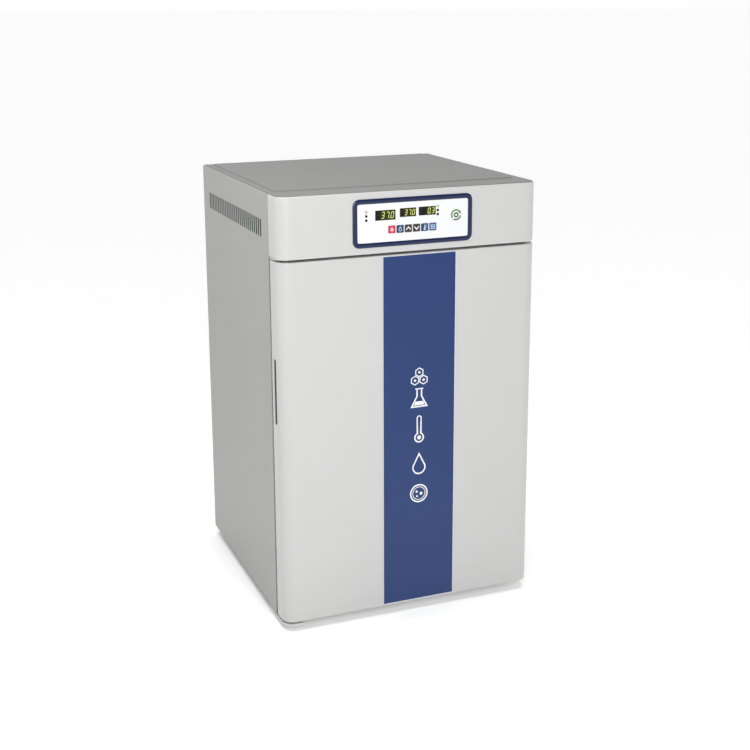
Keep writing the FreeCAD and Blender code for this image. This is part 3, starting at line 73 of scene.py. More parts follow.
def noise(tree, coordinates, scale, detail=3.0):
    texture = tree.nodes.new("ShaderNodeTexNoise")
    texture.inputs["Scale"].default_value = scale
    texture.inputs["Detail"].default_value = detail
    tree.links.new(coordinates, texture.inputs["Vector"])
    return texture.outputs["Fac"]


def voronoi(tree, coordinates, scale):
    texture = tree.nodes.new("ShaderNodeTexVoronoi")
    texture.inputs["Scale"].default_value = scale
    tree.links.new(coordinates, texture.inputs["Vector"])
    return texture.outputs["Distance"]


def spread(tree, source, low, high):
    """Maps a 0..1 pattern onto a range."""
    remap = tree.nodes.new("ShaderNodeMapRange")
    remap.inputs["To Min"].default_value = low
    remap.inputs["To Max"].default_value = high
    tree.links.new(source, remap.inputs["Value"])
    return remap.outputs["Result"]


def tint(tree, source, colour, variation):
    """Varies a colour a little, from darker to lighter, with a pattern."""
    ramp = tree.nodes.new("ShaderNodeValToRGB")
    darker, lighter = ramp.color_ramp.elements
    darker.position = 0.3
    lighter.position = 0.7
    darker.color = [channel * (1 - variation) for channel in colour] + [1]
    lighter.color = [min(channel * (1 + variation), 1) for channel in colour] + [1]
    tree.links.new(source, ramp.inputs["Fac"])
    return ramp.outputs["Color"]


def bump(tree, shader, source, strength, depth):
    node = tree.nodes.new("ShaderNodeBump")
    node.inputs["Strength"].default_value = strength
    node.inputs["Distance"].default_value = depth
    tree.links.new(source, node.inputs["Height"])
    tree.links.new(node.outputs["Normal"], shader.inputs["Normal"])


def surface(name, colour, roughness, variation=0.03, grain=350, cloud=6, relief=0.15, depth=0.0002,
            metallic=0.0, stretch=(1, 1, 1), pattern=noise, **sockets):
    """General finish: broad colour drift, fine roughness variation and fine relief."""
    material, tree, shader = new_material(name)
    coordinates = object_coordinates(tree)
    drift = noise(tree, coordinates, cloud)
    fine = pattern(tree, object_coordinates(tree, stretch), grain)
    glossiest, dullest = roughness * 0.88, min(roughness * 1.12, 1)
    tree.links.new(tint(tree, drift, colour, variation), shader.inputs["Base Color"])
    tree.links.new(spread(tree, fine, glossiest, dullest), shader.inputs["Roughness"])
    bump(tree, shader, fine, relief, depth)
    shader.inputs["Metallic"].default_value = metallic
    for socket, value in sockets.items():
        shader.inputs[socket.replace("_", " ")].default_value = value
    return material


def glowing(name, colour, strength):
    """Lit display segment: its brightness varies slightly over the moulded lens with a fine pattern."""
    material, tree, shader = new_material(name)
    fine = noise(tree, object_coordinates(tree), 900)
    glow = tint(tree, fine, colour, 0.1)
    tree.links.new(glow, shader.inputs["Base Color"])
    tree.links.new(glow, shader.inputs["Emission Color"])
    shader.inputs["Emission Strength"].default_value = strength
    shader.inputs["Roughness"].default_value = 0.4
    return material


def clear_glass(name):
    """Float glass with a faint green body colour and light smears."""
    material, tree, shader = new_material(name)
    smear = noise(tree, object_coordinates(tree, (1, 1, 0.4)), 9)
    tree.links.new(tint(tree, smear, (0.93, 0.975, 0.955), 0.01), shader.inputs["Base Color"])
    tree.links.new(spread(tree, smear, 0.01, 0.06), shader.inputs["Roughness"])
    shader.inputs["Transmission Weight"].default_value = 1.0
    shader.inputs["IOR"].default_value = 1.45
    return material


def make_materials():
    """One material per slot of the record, plus the inks, marks and display segments of this script."""
    brushed = {"metallic": 1.0, "variation": 0.05, "cloud": 10, "grain": 60, "stretch": (1, 1, 30)}
    made = {
        # cabinet_paint is a darker copy of the off-white head_paint and door_paint: painted shade on the side
        # panels.
        "cabinet_paint": surface("cabinet_paint", (0.362, 0.362, 0.358), 0.42, 0.012),
        # top_paint is a still darker copy of the same off-white paint: painted shade on the top.
        "top_paint": surface("top_paint", (0.198, 0.198, 0.196), 0.5, 0.015),
        "head_paint": surface("head_paint", (0.58, 0.58, 0.576), 0.34, 0.01),
        "door_paint": surface("door_paint", (0.58, 0.58, 0.576), 0.34, 0.01),
        "hinge_paint": surface("hinge_paint", (0.60, 0.60, 0.595), 0.36, 0.02),
        "mouth_paint": surface("mouth_paint", (0.70, 0.70, 0.69), 0.4, 0.015),
        # zinc_sheet is darker than bare zinc plating: painted shade for the dim inside of the cabinet seen
        # through the vent slots.
        "zinc_sheet": surface("zinc_sheet", (0.20, 0.20, 0.205), 0.5, 0.08, metallic=0.6),
        "foot_rubber": surface("foot_rubber", (0.025, 0.025, 0.025), 0.75, 0.1, relief=0.4),
        "bezel_plastic": surface("bezel_plastic", (0.005, 0.014, 0.062), 0.22, 0.05, relief=0.05),
        "face_plastic": surface("face_plastic", (0.82, 0.828, 0.84), 0.38, 0.01, grain=900, relief=0.1),
        "display_window": surface("display_window", (0.006, 0.007, 0.004), 0.2, 0.1, relief=0.02,
                                  Specular_IOR_Level=0.1),
        "lamp_plastic": surface("lamp_plastic", (0.004, 0.004, 0.004), 0.3, 0.1, relief=0.02,
                                Specular_IOR_Level=0.15),
        "board": surface("board", (0.02, 0.16, 0.06), 0.4, 0.15, grain=500, pattern=voronoi),
        "key_red": surface("key_red", (0.55, 0.022, 0.06), 0.38, 0.04, grain=900),
        "key_blue": surface("key_blue", (0.012, 0.035, 0.11), 0.38, 0.05, grain=900),
        "key_light_blue": surface("key_light_blue", (0.035, 0.085, 0.25), 0.38, 0.05, grain=900),
        "key_grey": surface("key_grey", (0.028, 0.026, 0.028), 0.38, 0.05, grain=900),
        "button_green": surface("button_green", (0.035, 0.12, 0.02), 0.35, 0.05, grain=900),
        "foam": surface("foam", (0.80, 0.70, 0.45), 0.9, 0.08, grain=500, relief=0.6, depth=0.001,
                        pattern=voronoi),
        "seal_rubber": surface("seal_rubber", (0.42, 0.42, 0.42), 0.62, 0.05, relief=0.3),
        "silicone_seal": surface("silicone_seal", (0.72, 0.72, 0.70), 0.5, 0.04, relief=0.2),
        "stripe_film": surface("stripe_film", (0.003, 0.030, 0.146), 0.4, 0.02, relief=0.06),
        "grip_plastic": surface("grip_plastic", (0.10, 0.10, 0.10), 0.6, 0.08, relief=0.3),
        "bush_plastic": surface("bush_plastic", (0.78, 0.78, 0.74), 0.5, 0.04),
        "plated_steel": surface("plated_steel", (0.55, 0.55, 0.54), 0.32, 0.08, metallic=1.0, grain=250),
        "stainless": surface("stainless", (0.60, 0.60, 0.595), 0.30, relief=0.06, **brushed),
        "heater_silicone": surface("heater_silicone", (0.45, 0.10, 0.03), 0.6, 0.08, relief=0.3),
        "filter_media": surface("filter_media", (0.82, 0.82, 0.79), 0.9, 0.04, grain=700, relief=0.4),
        "motor_metal": surface("motor_metal", (0.42, 0.42, 0.44), 0.45, 0.08, metallic=0.9, grain=300),
        "fan_plastic": surface("fan_plastic", (0.05, 0.05, 0.052), 0.5, 0.1, relief=0.2),
        "sensor_metal": surface("sensor_metal", (0.58, 0.58, 0.57), 0.28, relief=0.06, **brushed),
        "clear_glass": clear_glass("clear_glass"),
        "knob_plastic": surface("knob_plastic", (0.015, 0.015, 0.016), 0.3, 0.1, relief=0.05),
        "black_plastic": surface("black_plastic", (0.018, 0.018, 0.019), 0.5, 0.1, relief=0.25),
        "brass_fitting": surface("brass_fitting", (0.72, 0.50, 0.20), 0.28, 0.08, metallic=1.0, grain=200),
        "rocker_plastic": surface("rocker_plastic", (0.02, 0.02, 0.021), 0.28, 0.1, relief=0.05),
        "port_plastic": surface("port_plastic", (0.70, 0.70, 0.69), 0.45, 0.04),
        "plug_rubber": surface("plug_rubber", (0.62, 0.62, 0.59), 0.6, 0.06, relief=0.3),
        "white_ink": surface("white_ink", (0.86, 0.87, 0.88), 0.45, 0.02, grain=900),
        "green_ink": surface("green_ink", (0.20, 0.40, 0.10), 0.4, 0.05, grain=900),
        "dark_segment": surface("dark_segment", (0.032, 0.032, 0.03), 0.3, 0.1, grain=900,
                                Specular_IOR_Level=0.1),
        "lit_segment": glowing("lit_segment", (0.50, 0.54, 0.17), 0.6),
        "pale_mark": surface("pale_mark", (0.42, 0.55, 0.80), 0.45, 0.05, grain=900),
        "rose_mark": surface("rose_mark", (0.85, 0.45, 0.50), 0.45, 0.05, grain=900),
        "window_glow": surface("window_glow", (0.034, 0.038, 0.004), 0.3, 0.1, grain=900,
                               Specular_IOR_Level=0.1),
    }
    return made


materials = make_materials()


def dress_cad_nodes():
    """Gives every CAD node the material of its record slot."""
    for part in frame["record"]["subparts"]:
        node = frame["nodes"][part["node"]]
        node.data.materials.clear()
        node.data.materials.append(materials[part["material_slot"]])


# ---------------------------------------------------------------- mesh helpers

def finish_piece(piece, material, body):
    """Gives a new piece its material and the body it rides on."""
    piece.data.materials.clear()
    piece.data.materials.append(materials[material])
    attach(piece, body)
    return piece


def mesh_piece(name, mesh):
    piece = bpy.data.objects.new(name, mesh)
    bpy.context.scene.collection.objects.link(piece)
    return piece


def from_bmesh(name, shape, smooth_angle=math.radians(35)):
    """Turns a bmesh into an object, smooth except across sharp edges."""
    bmesh.ops.recalc_face_normals(shape, faces=shape.faces)
    for edge in shape.edges:
        if len(edge.link_faces) == 2:
            edge.smooth = edge.calc_face_angle() < smooth_angle
    for face in shape.faces:
        face.smooth = True
    mesh = bpy.data.meshes.new(name)
    shape.to_mesh(mesh)
    shape.free()
    return mesh_piece(name, mesh)


def arc(centre_x, centre_z, radius, start, end, steps=12):
    """Points along an arc, angles in degrees."""
    points = []
    for i in range(steps + 1):
        angle = math.radians(start + (end - start) * i / steps)
        points.append((centre_x + radius * math.cos(angle), centre_z + radius * math.sin(angle)))
    return points


def disc(centre_x, centre_z, radius, steps=40):
    return arc(centre_x, centre_z, radius, 0, 360, steps)[:-1]


def rounded_box(left, right, bottom, top, radius, steps=8):
    """Outline of a rectangle with round corners, counter-clockwise from the lower right."""
    corners = [
        (right - radius, bottom + radius, -90),
        (right - radius, top - radius, 0),
        (left + radius, top - radius, 90),
        (left + radius, bottom + radius, 180),
    ]
    points = []
    for x, z, start in corners:
        points += arc(x, z, radius, start, start + 90, steps)
    return points


def stroke(points, width):
    """Outline of a line drawn with a flat pen of a given width, mitred at its corners."""
    sharpest = 0.4
    sides = ([], [])
    vectors = [Vector(point) for point in points]
    for i, point in enumerate(vectors):
        before = (point - vectors[i - 1]).normalized() if i > 0 else None
        after = (vectors[i + 1] - point).normalized() if i < len(vectors) - 1 else None
        heading = ((before or after) + (after or before)).normalized()
        across = Vector((-heading.y, heading.x))
        reach = width / 2
        if before and after:
            reach /= max(across.dot(Vector((-after.y, after.x))), sharpest)
        sides[0].append(tuple(point + across * reach))
        sides[1].append(tuple(point - across * reach))
    return sides[0] + sides[1][::-1]


def inlay(name, outlines, plane_y, height, material, body, facing=-1):
    """A flat printed or moulded mark that stands out of a plane by its height.

    Outlines are closed lists of (x, z) in millimetres; an outline inside another is a hole.
    The mark faces -Y, or +Y when facing is 1.
    """
    curve = bpy.data.curves.new(name, "CURVE")
    curve.dimensions = "2D"
    curve.fill_mode = "BOTH"
    curve.extrude = height * MM / 2
    for outline in outlines:
        spline = curve.splines.new("POLY")
        spline.points.add(len(outline) - 1)
        spline.use_cyclic_u = True
        for point, (x, z) in zip(spline.points, outline):
            point.co = (x * MM * -facing, z * MM, 0, 1)
    holder = bpy.data.objects.new(name + "_outline", curve)
    bpy.context.scene.collection.objects.link(holder)
    bpy.context.view_layer.update()
    evaluated = holder.evaluated_get(bpy.context.evaluated_depsgraph_get())
    mesh = bpy.data.meshes.new_from_object(evaluated)
    bpy.data.objects.remove(holder)
    bpy.data.curves.remove(curve)
    turn = Matrix.Rotation(math.radians(90), 4, "X")
    if facing > 0:
        turn = Matrix.Rotation(math.radians(180), 4, "Z") @ turn
    offset = Matrix.Translation((0, (plane_y + facing * height / 2) * MM, 0))
    mesh.transform(offset @ turn)
    shape = bmesh.new()
    shape.from_mesh(mesh)
    bpy.data.meshes.remove(mesh)
    bmesh.ops.remove_doubles(shape, verts=shape.verts, dist=1e-7)
    return finish_piece(from_bmesh(name, shape), material, body)


def moulding(name, sides, radius, profile, material, body, steps=10):
    """A closed ring of constant section that follows a rounded rectangle.

    sides are (left, right, bottom, top) in millimetres; the section is a closed list of
    (inset from the outline, y) points.
    """
    left, right, bottom, top = sides
    least_radius = 0.5
    shape = bmesh.new()
    rings = []
    for inset, y in profile:
        outline = rounded_box(left + inset, right - inset, bottom + inset, top - inset,
                              max(radius - inset, least_radius), steps)
        rings.append([shape.verts.new((x * MM, y * MM, z * MM)) for x, z in outline])
    count = len(rings[0])
    for i, ring in enumerate(rings):
        following = rings[(i + 1) % len(rings)]
        for j in range(count):
            k = (j + 1) % count
            shape.faces.new((ring[j], ring[k], following[k], following[j]))
    return finish_piece(from_bmesh(name, shape), material, body)


def lathe(name, profile, centre, axis, material, body, steps=48):
    """A solid of revolution. The profile is (radius, height) in millimetres, from axis to axis."""
    shape = bmesh.new()
    rings = []
    for radius, height in profile:
        if radius < 1e-6:
            rings.append([shape.verts.new((0, 0, height * MM))])
            continue
        ring = []
        for i in range(steps):
            angle = 2 * math.pi * i / steps
            point = (radius * MM * math.cos(angle), radius * MM * math.sin(angle), height * MM)
            ring.append(shape.verts.new(point))
        rings.append(ring)
    for lower, upper in zip(rings, rings[1:]):
        for i in range(steps):
            j = (i + 1) % steps
            corners = [lower[i % len(lower)], lower[j % len(lower)],
                       upper[j % len(upper)], upper[i % len(upper)]]
            unique = list(dict.fromkeys(corners))
            if len(unique) > 2:
                shape.faces.new(unique)
    turn = Vector((0, 0, 1)).rotation_difference(Vector(axis)).to_matrix().to_4x4()
    shape.transform(Matrix.Translation(Vector(centre) * MM) @ turn)
    return finish_piece(from_bmesh(name, shape), material, body)


def upright(name, outline, bottom, top, material, body, slot=None):
    """A straight bar that stands on a closed (x, y) outline, in millimetres."""
    shape = bmesh.new()
    ends = []
    for height in (bottom, top):
        ends.append([shape.verts.new((x * MM, y * MM, height * MM)) for x, y in outline])
        shape.faces.new(ends[-1])
    for i in range(len(outline)):
        j = (i + 1) % len(outline)
        shape.faces.new((ends[0][i], ends[0][j], ends[1][j], ends[1][i]))
    return finish_piece(from_bmesh(name, shape), material, body)


def joined(name, pieces, material, body):
    """Joins pieces of one material and body into one object."""
    shape = bmesh.new()
    for piece in pieces:
        shape.from_mesh(piece.data)
        bpy.data.objects.remove(piece)
    return finish_piece(from_bmesh(name, shape), material, body)


def node_mm(node):
    """Lowest and highest corners of a CAD node in millimetres."""
    low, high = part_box(node)
    return low / MM, high / MM


def node_centre(node):
    """Middle of a CAD node across and up, in millimetres."""
    low, high = node_mm(node)
    return (low.x + high.x) / 2, (low.z + high.z) / 2


def solid_boxes(name):
    """(left, right, bottom, top) of each solid of a CAD node, in millimetres, column by column."""
    node = frame["nodes"][name]
    shape = bmesh.new()
    shape.from_mesh(node.data)
    shape.transform(node.matrix_world)
    bmesh.ops.remove_doubles(shape, verts=shape.verts, dist=1e-6)
    waiting = set(shape.verts)
    boxes = []
    while waiting:
        reached = [waiting.pop()]
        places = []
        while reached:
            corner = reached.pop()
            places.append(corner.co / MM)
            for edge in corner.link_edges:
                other = edge.other_vert(corner)
                if other in waiting:
                    waiting.discard(other)
                    reached.append(other)
        across = [place.x for place in places]
        heights = [place.z for place in places]
        boxes.append((min(across), max(across), min(heights), max(heights)))
    shape.free()
    return sorted(boxes, key=lambda box: (round(box[0]), -box[2]))


# ---------------------------------------------------------------- control panel

def panel_bezel():
    """Domed navy frame round the panel."""
    low, high = node_mm("panel_bezel")
    width, lip, corner = 10, 0.3, 14
    fullness = 0.8
    rise = high.y - low.y
    section = [(width, high.y), (0, high.y)]
    steps = 14
    for i in range(steps + 1):
        turn = math.pi * i / steps
        across = width / 2 * (1 - math.cos(turn))
        crown = math.sin(turn) ** fullness if 0 < i < steps else 0
        section.append((across, high.y - lip - (rise - lip) * crown))
    piece = moulding("panel_bezel_crown", (low.x, high.x, low.z, high.z), corner, section,
                     "bezel_plastic", "cabinet")
    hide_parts("panel_bezel")


# Bars of each seven-segment digit: a top, b and c right, d bottom, e and f left, g middle.
SEGMENTS = {
    "0": "abcdef", "1": "bc", "2": "abdeg", "3": "abcdg", "4": "bcfg",
    "5": "acdfg", "6": "acdefg", "7": "abc", "8": "abcdefg", "9": "abcdfg",
}


def segment_outline(kind, left, bottom, wide, tall, thick, slant):
    """Six-sided bar of a seven-segment digit, leaning by the slant; kinds a to g as in SEGMENTS."""
    gap = thick * 0.12
    middle = bottom + tall / 2
    half = thick / 2
    level = {"a": bottom + tall - half, "g": middle, "d": bottom + half}
    upright = {"f": (left + half, middle), "b": (left + wide - half, middle),
               "e": (left + half, bottom), "c": (left + wide - half, bottom)}
    if kind in level:
        z = level[kind]
        x0, x1 = left + half + gap, left + wide - half - gap
        bar = [(x0, z), (x0 + half, z - half), (x1 - half, z - half), (x1, z), (x1 - half, z + half),
               (x0 + half, z + half)]
    else:
        x, start = upright[kind]
        z0 = start + gap + (half if kind in "ec" else 0)
        z1 = start + tall / 2 - gap - (0 if kind in "ec" else half)
        bar = [(x, z0), (x + half, z0 + half), (x + half, z1 - half), (x, z1), (x - half, z1 - half),
               (x - half, z0 + half)]
    return [(x + (z - bottom) * slant, z) for x, z in bar]


def display(name, window, text, front):
    """Seven-segment number: lit bars, unlit bars and the decimal point, over a faint glow."""
    left, right, bottom, top = window
    across, height = right - left, top - bottom
    low, tall = bottom + height * 0.17, height * 0.66
    start, cell = left + across * 0.05, across * 0.232
    wide, thick, slant = cell * 0.66, tall * 0.105, 0.17
    places = 4
    digits = text.replace(".", "").rjust(places)
    point_place = places - (len(text) - text.index("."))
    lit, dark = [], []
    for i, digit in enumerate(digits):
        x = start + cell * i
        for kind in "abcdefg":
            bar = segment_outline(kind, x, low, wide, tall, thick, slant)
            (lit if kind in SEGMENTS.get(digit, "") else dark).append(bar)
        point = disc(x + wide + thick * 0.9, low + thick * 0.5, thick * 0.55, 14)
        (lit if i == point_place else dark).append(point)
    edge, corner = 0.9, 1.5
    glow_left = left + across * (0.26 if digits[1] != " " else 0.48)
    glow = rounded_box(glow_left, right - edge, bottom + edge, top - edge, corner)
    inlay(f"{name}_glow", [glow], front, 0.05, "window_glow", "cabinet")
    inlay(f"{name}_lit", lit, front, 0.12, "lit_segment", "cabinet")
    inlay(f"{name}_unlit", dark, front, 0.08, "dark_segment", "cabinet")


def displays():
    """Numbers on the three windows and the thin frame round each window."""
    front = node_mm("display_modules")[0].y
    numbers = ("37.0", "37.0", "0.3")
    outside, inside, rise = 0.05, 0.8, 0.28
    for i, (window, text) in enumerate(zip(solid_boxes("display_modules"), numbers)):
        display(f"display_{i + 1}", window, text, front)
        left, right, bottom, top = window
        outer = rounded_box(left + outside, right - outside, bottom + outside, top - outside, 0.5, 3)
        inner = rounded_box(left + inside, right - inside, bottom + inside, top - inside, 0.4, 3)
        inlay(f"display_{i + 1}_frame", [outer, inner], front, rise, "black_plastic", "cabinet")


def indicator_lamps():
    """Domed lens over each lamp; the first of each column is clear inside a dark rim."""
    front = node_mm("indicator_lamps")[0].y
    column = 3
    seat = 0.02
    for i, (left, right, bottom, top) in enumerate(solid_boxes("indicator_lamps")):
        x, z = (left + right) / 2, (bottom + top) / 2
        clear = i % column == 0
        radius = 1.7 if clear else 2.5
        dome = [(0, 0), (radius, 0), (radius * 0.92, 0.12), (radius * 0.65, 0.22), (radius * 0.3, 0.27),
                (0, 0.28)]
        lathe(f"lamp_{i + 1}_lens", dome, (x, front + seat, z), (0, -1, 0),
              "white_ink" if clear else "lamp_plastic", "cabinet", steps=28)


def key_marks():
    """Generic pictograms on the six square keys: bell, droplet, up, down, thermometer, grid."""
    front = node_mm("up_key")[0].y
    reach, rise, pen = 5, 2.8, 1.9

    def mark(name, key, outlines, ink="white_ink"):
        inlay(name, outlines, front, 0.1, ink, key)

    def chevron(x, row, way):
        return stroke([(x - reach, row - way * 2.6), (x, row + way * rise), (x + reach, row - way * 2.6)],
                      pen)

    x, row = node_centre("mute_key")
    bell = arc(x, row + 0.6, 3.4, 180, 0, 14) + [(x + 3.4, row - 1.6), (x + 4.9, row - 2.9),
                                                 (x - 4.9, row - 2.9), (x - 3.4, row - 1.6)]
    mark("mark_bell", "mute_key", [bell, disc(x, row - 4.4, 1.1, 14)], "rose_mark")
    x, row = node_centre("set_key")
    outer = arc(x, row - 1.4, 3.7, -215, 35, 20) + [(x, row + 5.6)]
    inner = arc(x, row - 1.4, 2.2, -215, 35, 20) + [(x, row + 2.7)]
    mark("mark_droplet", "set_key", [outer, inner], "pale_mark")
    mark("mark_up", "up_key", [chevron(*node_centre("up_key"), 1)])
    mark("mark_down", "down_key", [chevron(*node_centre("down_key"), -1)])
    x, row = node_centre("mode_key")
    tube = arc(x, row + 4, 1.4, 0, 180, 8) + arc(x, row - 3.0, 2.7, 121, 419, 20)
    ticks = [rounded_box(x + 2.8, x + 5, row + z, row + z + 0.9, 0.2, 2) for z in (0, 2, 4)]
    mark("mark_thermometer", "mode_key", [tube] + ticks, "pale_mark")
    x, row = node_centre("fan_key")
    cells = []
    cell_wide, cell_tall = 2.8, 2.5
    for i in range(3):
        for j in range(3):
            left, low = x - 5 + 3.6 * i, row - 4.8 + 3.4 * j
            cells.append(rounded_box(left, left + cell_wide, low, low + cell_tall, 0.3, 2))
    mark("mark_grid", "fan_key", cells, "pale_mark")


def start_button():
    """Round green button: an outer ring with two notches, a pale ring and a white centre."""
    x, z = node_centre("start_button")
    front = node_mm("start_button")[0].y
    ring_outer, ring_inner, centre = 8.0, 5.6, 2.3
    arc_outer, arc_inner = 10.6, 8.6
    notch_outer, notch_span, notch_flare = 10.9, 20, 6

    def print_on(name, outlines, ink):
        inlay(name, outlines, front, 0.09, ink, "start_button")

    print_on("start_pale_ring", [disc(x, z, ring_outer), disc(x, z, ring_inner)], "white_ink")
    print_on("start_centre", [disc(x, z, centre)], "white_ink")
    light_arc = arc(x, z, arc_outer, 60, 200, 30) + arc(x, z, arc_inner, 200, 60, 30)
    print_on("start_light_arc", [light_arc], "green_ink")
    for i, start in enumerate((-8, 214)):
        notch = arc(x, z, notch_outer, start, start + notch_span, 6)
        notch += arc(x, z, ring_outer, start + notch_span + notch_flare, start - 4, 6)
        print_on(f"start_notch_{i + 1}", [notch], "white_ink")


# ---------------------------------------------------------------- door

def door_marks():
    """White edge lines of the stripe and a column of generic laboratory pictograms."""
    low, high = node_mm("door_stripe")
    front = low.y
    edge = 0.9
    border = [rounded_box(low.x + inset, high.x - inset, low.z + inset, high.z - inset, 0.2, 2)
              for inset in (0, edge)]
    inlay("stripe_edge", border, front, 0.05, "white_ink", "outer_door")
    x = node_centre("door_stripe")[0]
    pen = 3
    dish_z, droplet_z, bulb_z, flask_z, cells_z = 261, 318, 383, 448, 506

    def ring(z, radius, width=pen):
        return [disc(x, z, radius, 48), disc(x, z, radius - width, 48)]

    def mark(name, outlines):
        inlay(f"pictogram_{name}", outlines, front, 0.08, "white_ink", "outer_door")

    def hexagon(centre_x, centre_z, size):
        return arc(centre_x, centre_z, size, 30, 330, 5)

    z = dish_z
    cells = [disc(x + dx, z + dz, radius, 18) for dx, dz, radius in ((-5, 4, 2.6), (5, -1, 3.4), (-4, -6, 2))]
    mark("dish", ring(z, 20) + ring(z, 14.5, 1.4) + cells)
    z, belly = droplet_z, 15
    outer = arc(x, z, belly, -214, 34, 30) + [(x, z + 33)]
    inner = arc(x, z, belly - pen, -212, 32, 30) + [(x, z + 26.5)]
    mark("droplet", [outer, inner])
    z, stem, bulb, tall = bulb_z, 5.6, 11, 42
    outer = arc(x, z + tall, stem, 0, 180, 16) + arc(x, z, bulb, 120, 420, 30)
    inner = arc(x, z + tall, stem - pen + 0.6, 0, 180, 12) + arc(x, z, bulb - pen, 105, 435, 26)
    mark("thermometer", [outer, inner, disc(x, z, 4.4, 24)])
    z, neck, foot, shoulder, mouth = flask_z, 5, 17, 24, 38
    flask = [(x - neck, z + mouth), (x - neck, z + shoulder), (x - foot, z + 2), (x + foot, z + 2),
             (x + neck, z + shoulder), (x + neck, z + mouth)]
    mark("flask", [stroke(flask, pen)])
    mark("flask_rim", [rounded_box(x - 9, x + 9, z + 38.5, z + 41, 0.8, 3)])
    mark("flask_fill", [[(x - 12, z + 5), (x + 12, z + 5), (x + 8.5, z + 13), (x - 8.5, z + 13)]])
    for i, (dx, dz) in enumerate(((-9.5, 0), (9.5, 0), (0, 16.5))):
        centre = (x + dx, cells_z + dz)
        mark(f"cell_{i + 1}", [hexagon(*centre, 10.4), hexagon(*centre, 8), disc(*centre, 2.6, 18)])


def door_gasket():
    """Ribbed bellows seal, in place of the plain CAD ring; the magnet core inside it is not drawn."""
    low, high = node_mm("door_gasket")
    front, back = low.y, high.y
    depth = back - front
    width, corner = 16, 12
    profile = [
        (0.5, front), (0.0, front + depth * 0.18), (1.6, front + depth * 0.34), (0.2, front + depth * 0.5),
        (1.2, front + depth * 0.66), (0.2, front + depth * 0.82), (1.0, back - 0.1), (3.0, back),
        (width - 3.0, back), (width - 1.0, back - 0.1), (width - 0.2, front + depth * 0.82),
        (width - 1.2, front + depth * 0.66), (width - 0.2, front + depth * 0.5),
        (width - 1.6, front + depth * 0.34), (width, front + depth * 0.18), (width - 0.5, front),
    ]
    piece = moulding("door_gasket_bellows", (low.x, high.x, low.z, high.z), corner, profile,
                     "seal_rubber", "outer_door")
    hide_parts("door_gasket")


def door_edges():
    """Rolled edges that close the gap between the door's shell and its inner panel."""
    shell = node_mm("door_shell")[1]
    low, high = node_mm("door_inner_panel")
    foam = node_mm("door_insulation")[1].y
    corner, clear = 5, 0.1
    x, y = shell.x - corner, high.y - corner
    start = math.degrees(math.asin((foam + clear - y) / (corner - clear)))
    outline = [(high.x + clear, foam + clear)] + arc(x, y, corner - clear, start, 90, 8)
    outline.append((high.x + clear, high.y - clear))
    for side, name in ((-1, "left"), (1, "right")):
        upright(f"door_edge_{name}", [(side * across, along) for across, along in outline], low.z, high.z,
                "door_paint", "outer_door")


# ---------------------------------------------------------------- fasteners and fittings

def top_seam():
    """Rubber strip in the seam between the rear cover and the top cover."""
    cover = node_mm("rear_cover")[1]
    half = node_mm("right_side_panel")[0].x
    underside = node_mm("top_cover")[0].z
    clear, setback, depth = 0.05, 2.2, 1.6
    strip = rounded_box(-half + clear, half - clear, cover.z + clear, underside - clear, 0.2, 2)
    inlay("top_seam_strip", [strip], cover.y - setback, depth, "seal_rubber", "cabinet", facing=1)


def screw_head(name, centre, axis, radius, height):
    """Domed pan head that stands on its seat."""
    dome = [(0, 0), (radius, 0), (radius, height * 0.35), (radius * 0.92, height * 0.7),
            (radius * 0.7, height * 0.92), (0, height)]
    return lathe(name, dome, centre, axis, "plated_steel", "cabinet", steps=28)


def cover_screws():
    """Ten pan-head screws on the rear cover, with black crosses as painted shade for their cross recesses,
    and two under the lower hinge plate.
    """
    rear = node_mm("rear_cover")[1].y
    column = node_mm("rear_cover")[1].x - 9.7
    radius, rise, plate_rise = 4.4, 2.0, 1.8
    arm, half = 2.2, 0.45
    heads = []
    crosses = []
    for side in (-1, 1):
        for z in (60, 260, 460, 660, 860):
            x = side * column
            heads.append(screw_head("screw", (x, rear, z), (0, 1, 0), radius, rise))
            cross = [(x - arm, z - half), (x - half, z - half), (x - half, z - arm), (x + half, z - arm),
                     (x + half, z - half), (x + arm, z - half), (x + arm, z + half), (x + half, z + half),
                     (x + half, z + arm), (x - half, z + arm), (x - half, z + half), (x - arm, z + half)]
            crosses.append(cross)
    plate_x = node_centre("hinge_pins")[0] - 2
    plate_z = node_mm("hinge_plates")[0].z
    for y in (-209, -193):
        heads.append(screw_head("screw", (plate_x, y, plate_z), (0, 0, -1), radius, plate_rise))
    piece = joined("screw_heads", heads, "plated_steel", "cabinet")
    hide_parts("screws")
    # The recesses are not cut: black crosses standing on the heads are painted shade for them.
    inlay("screw_recess_shade", crosses, rear + rise - 0.05, 0.12, "black_plastic", "cabinet",
          facing=1)


def inlet_blades():
    """Bright sleeves over the three contact blades of the mains inlet."""
    x, z = node_centre("mains_inlet")
    rear = node_mm("mains_inlet")[1].y
    pitch, half, depth, length = 7, 1.1, 16, 13
    for i in range(3):
        blade = x + pitch * (i - 1)
        outline = rounded_box(blade - half, blade + half, z - 0.1, z + 5.1, 0.3, 3)
        inlay(f"inlet_blade_{i + 1}", [outline], rear - depth, length, "plated_steel", "cabinet", facing=1)


# ---------------------------------------------------------------- scene

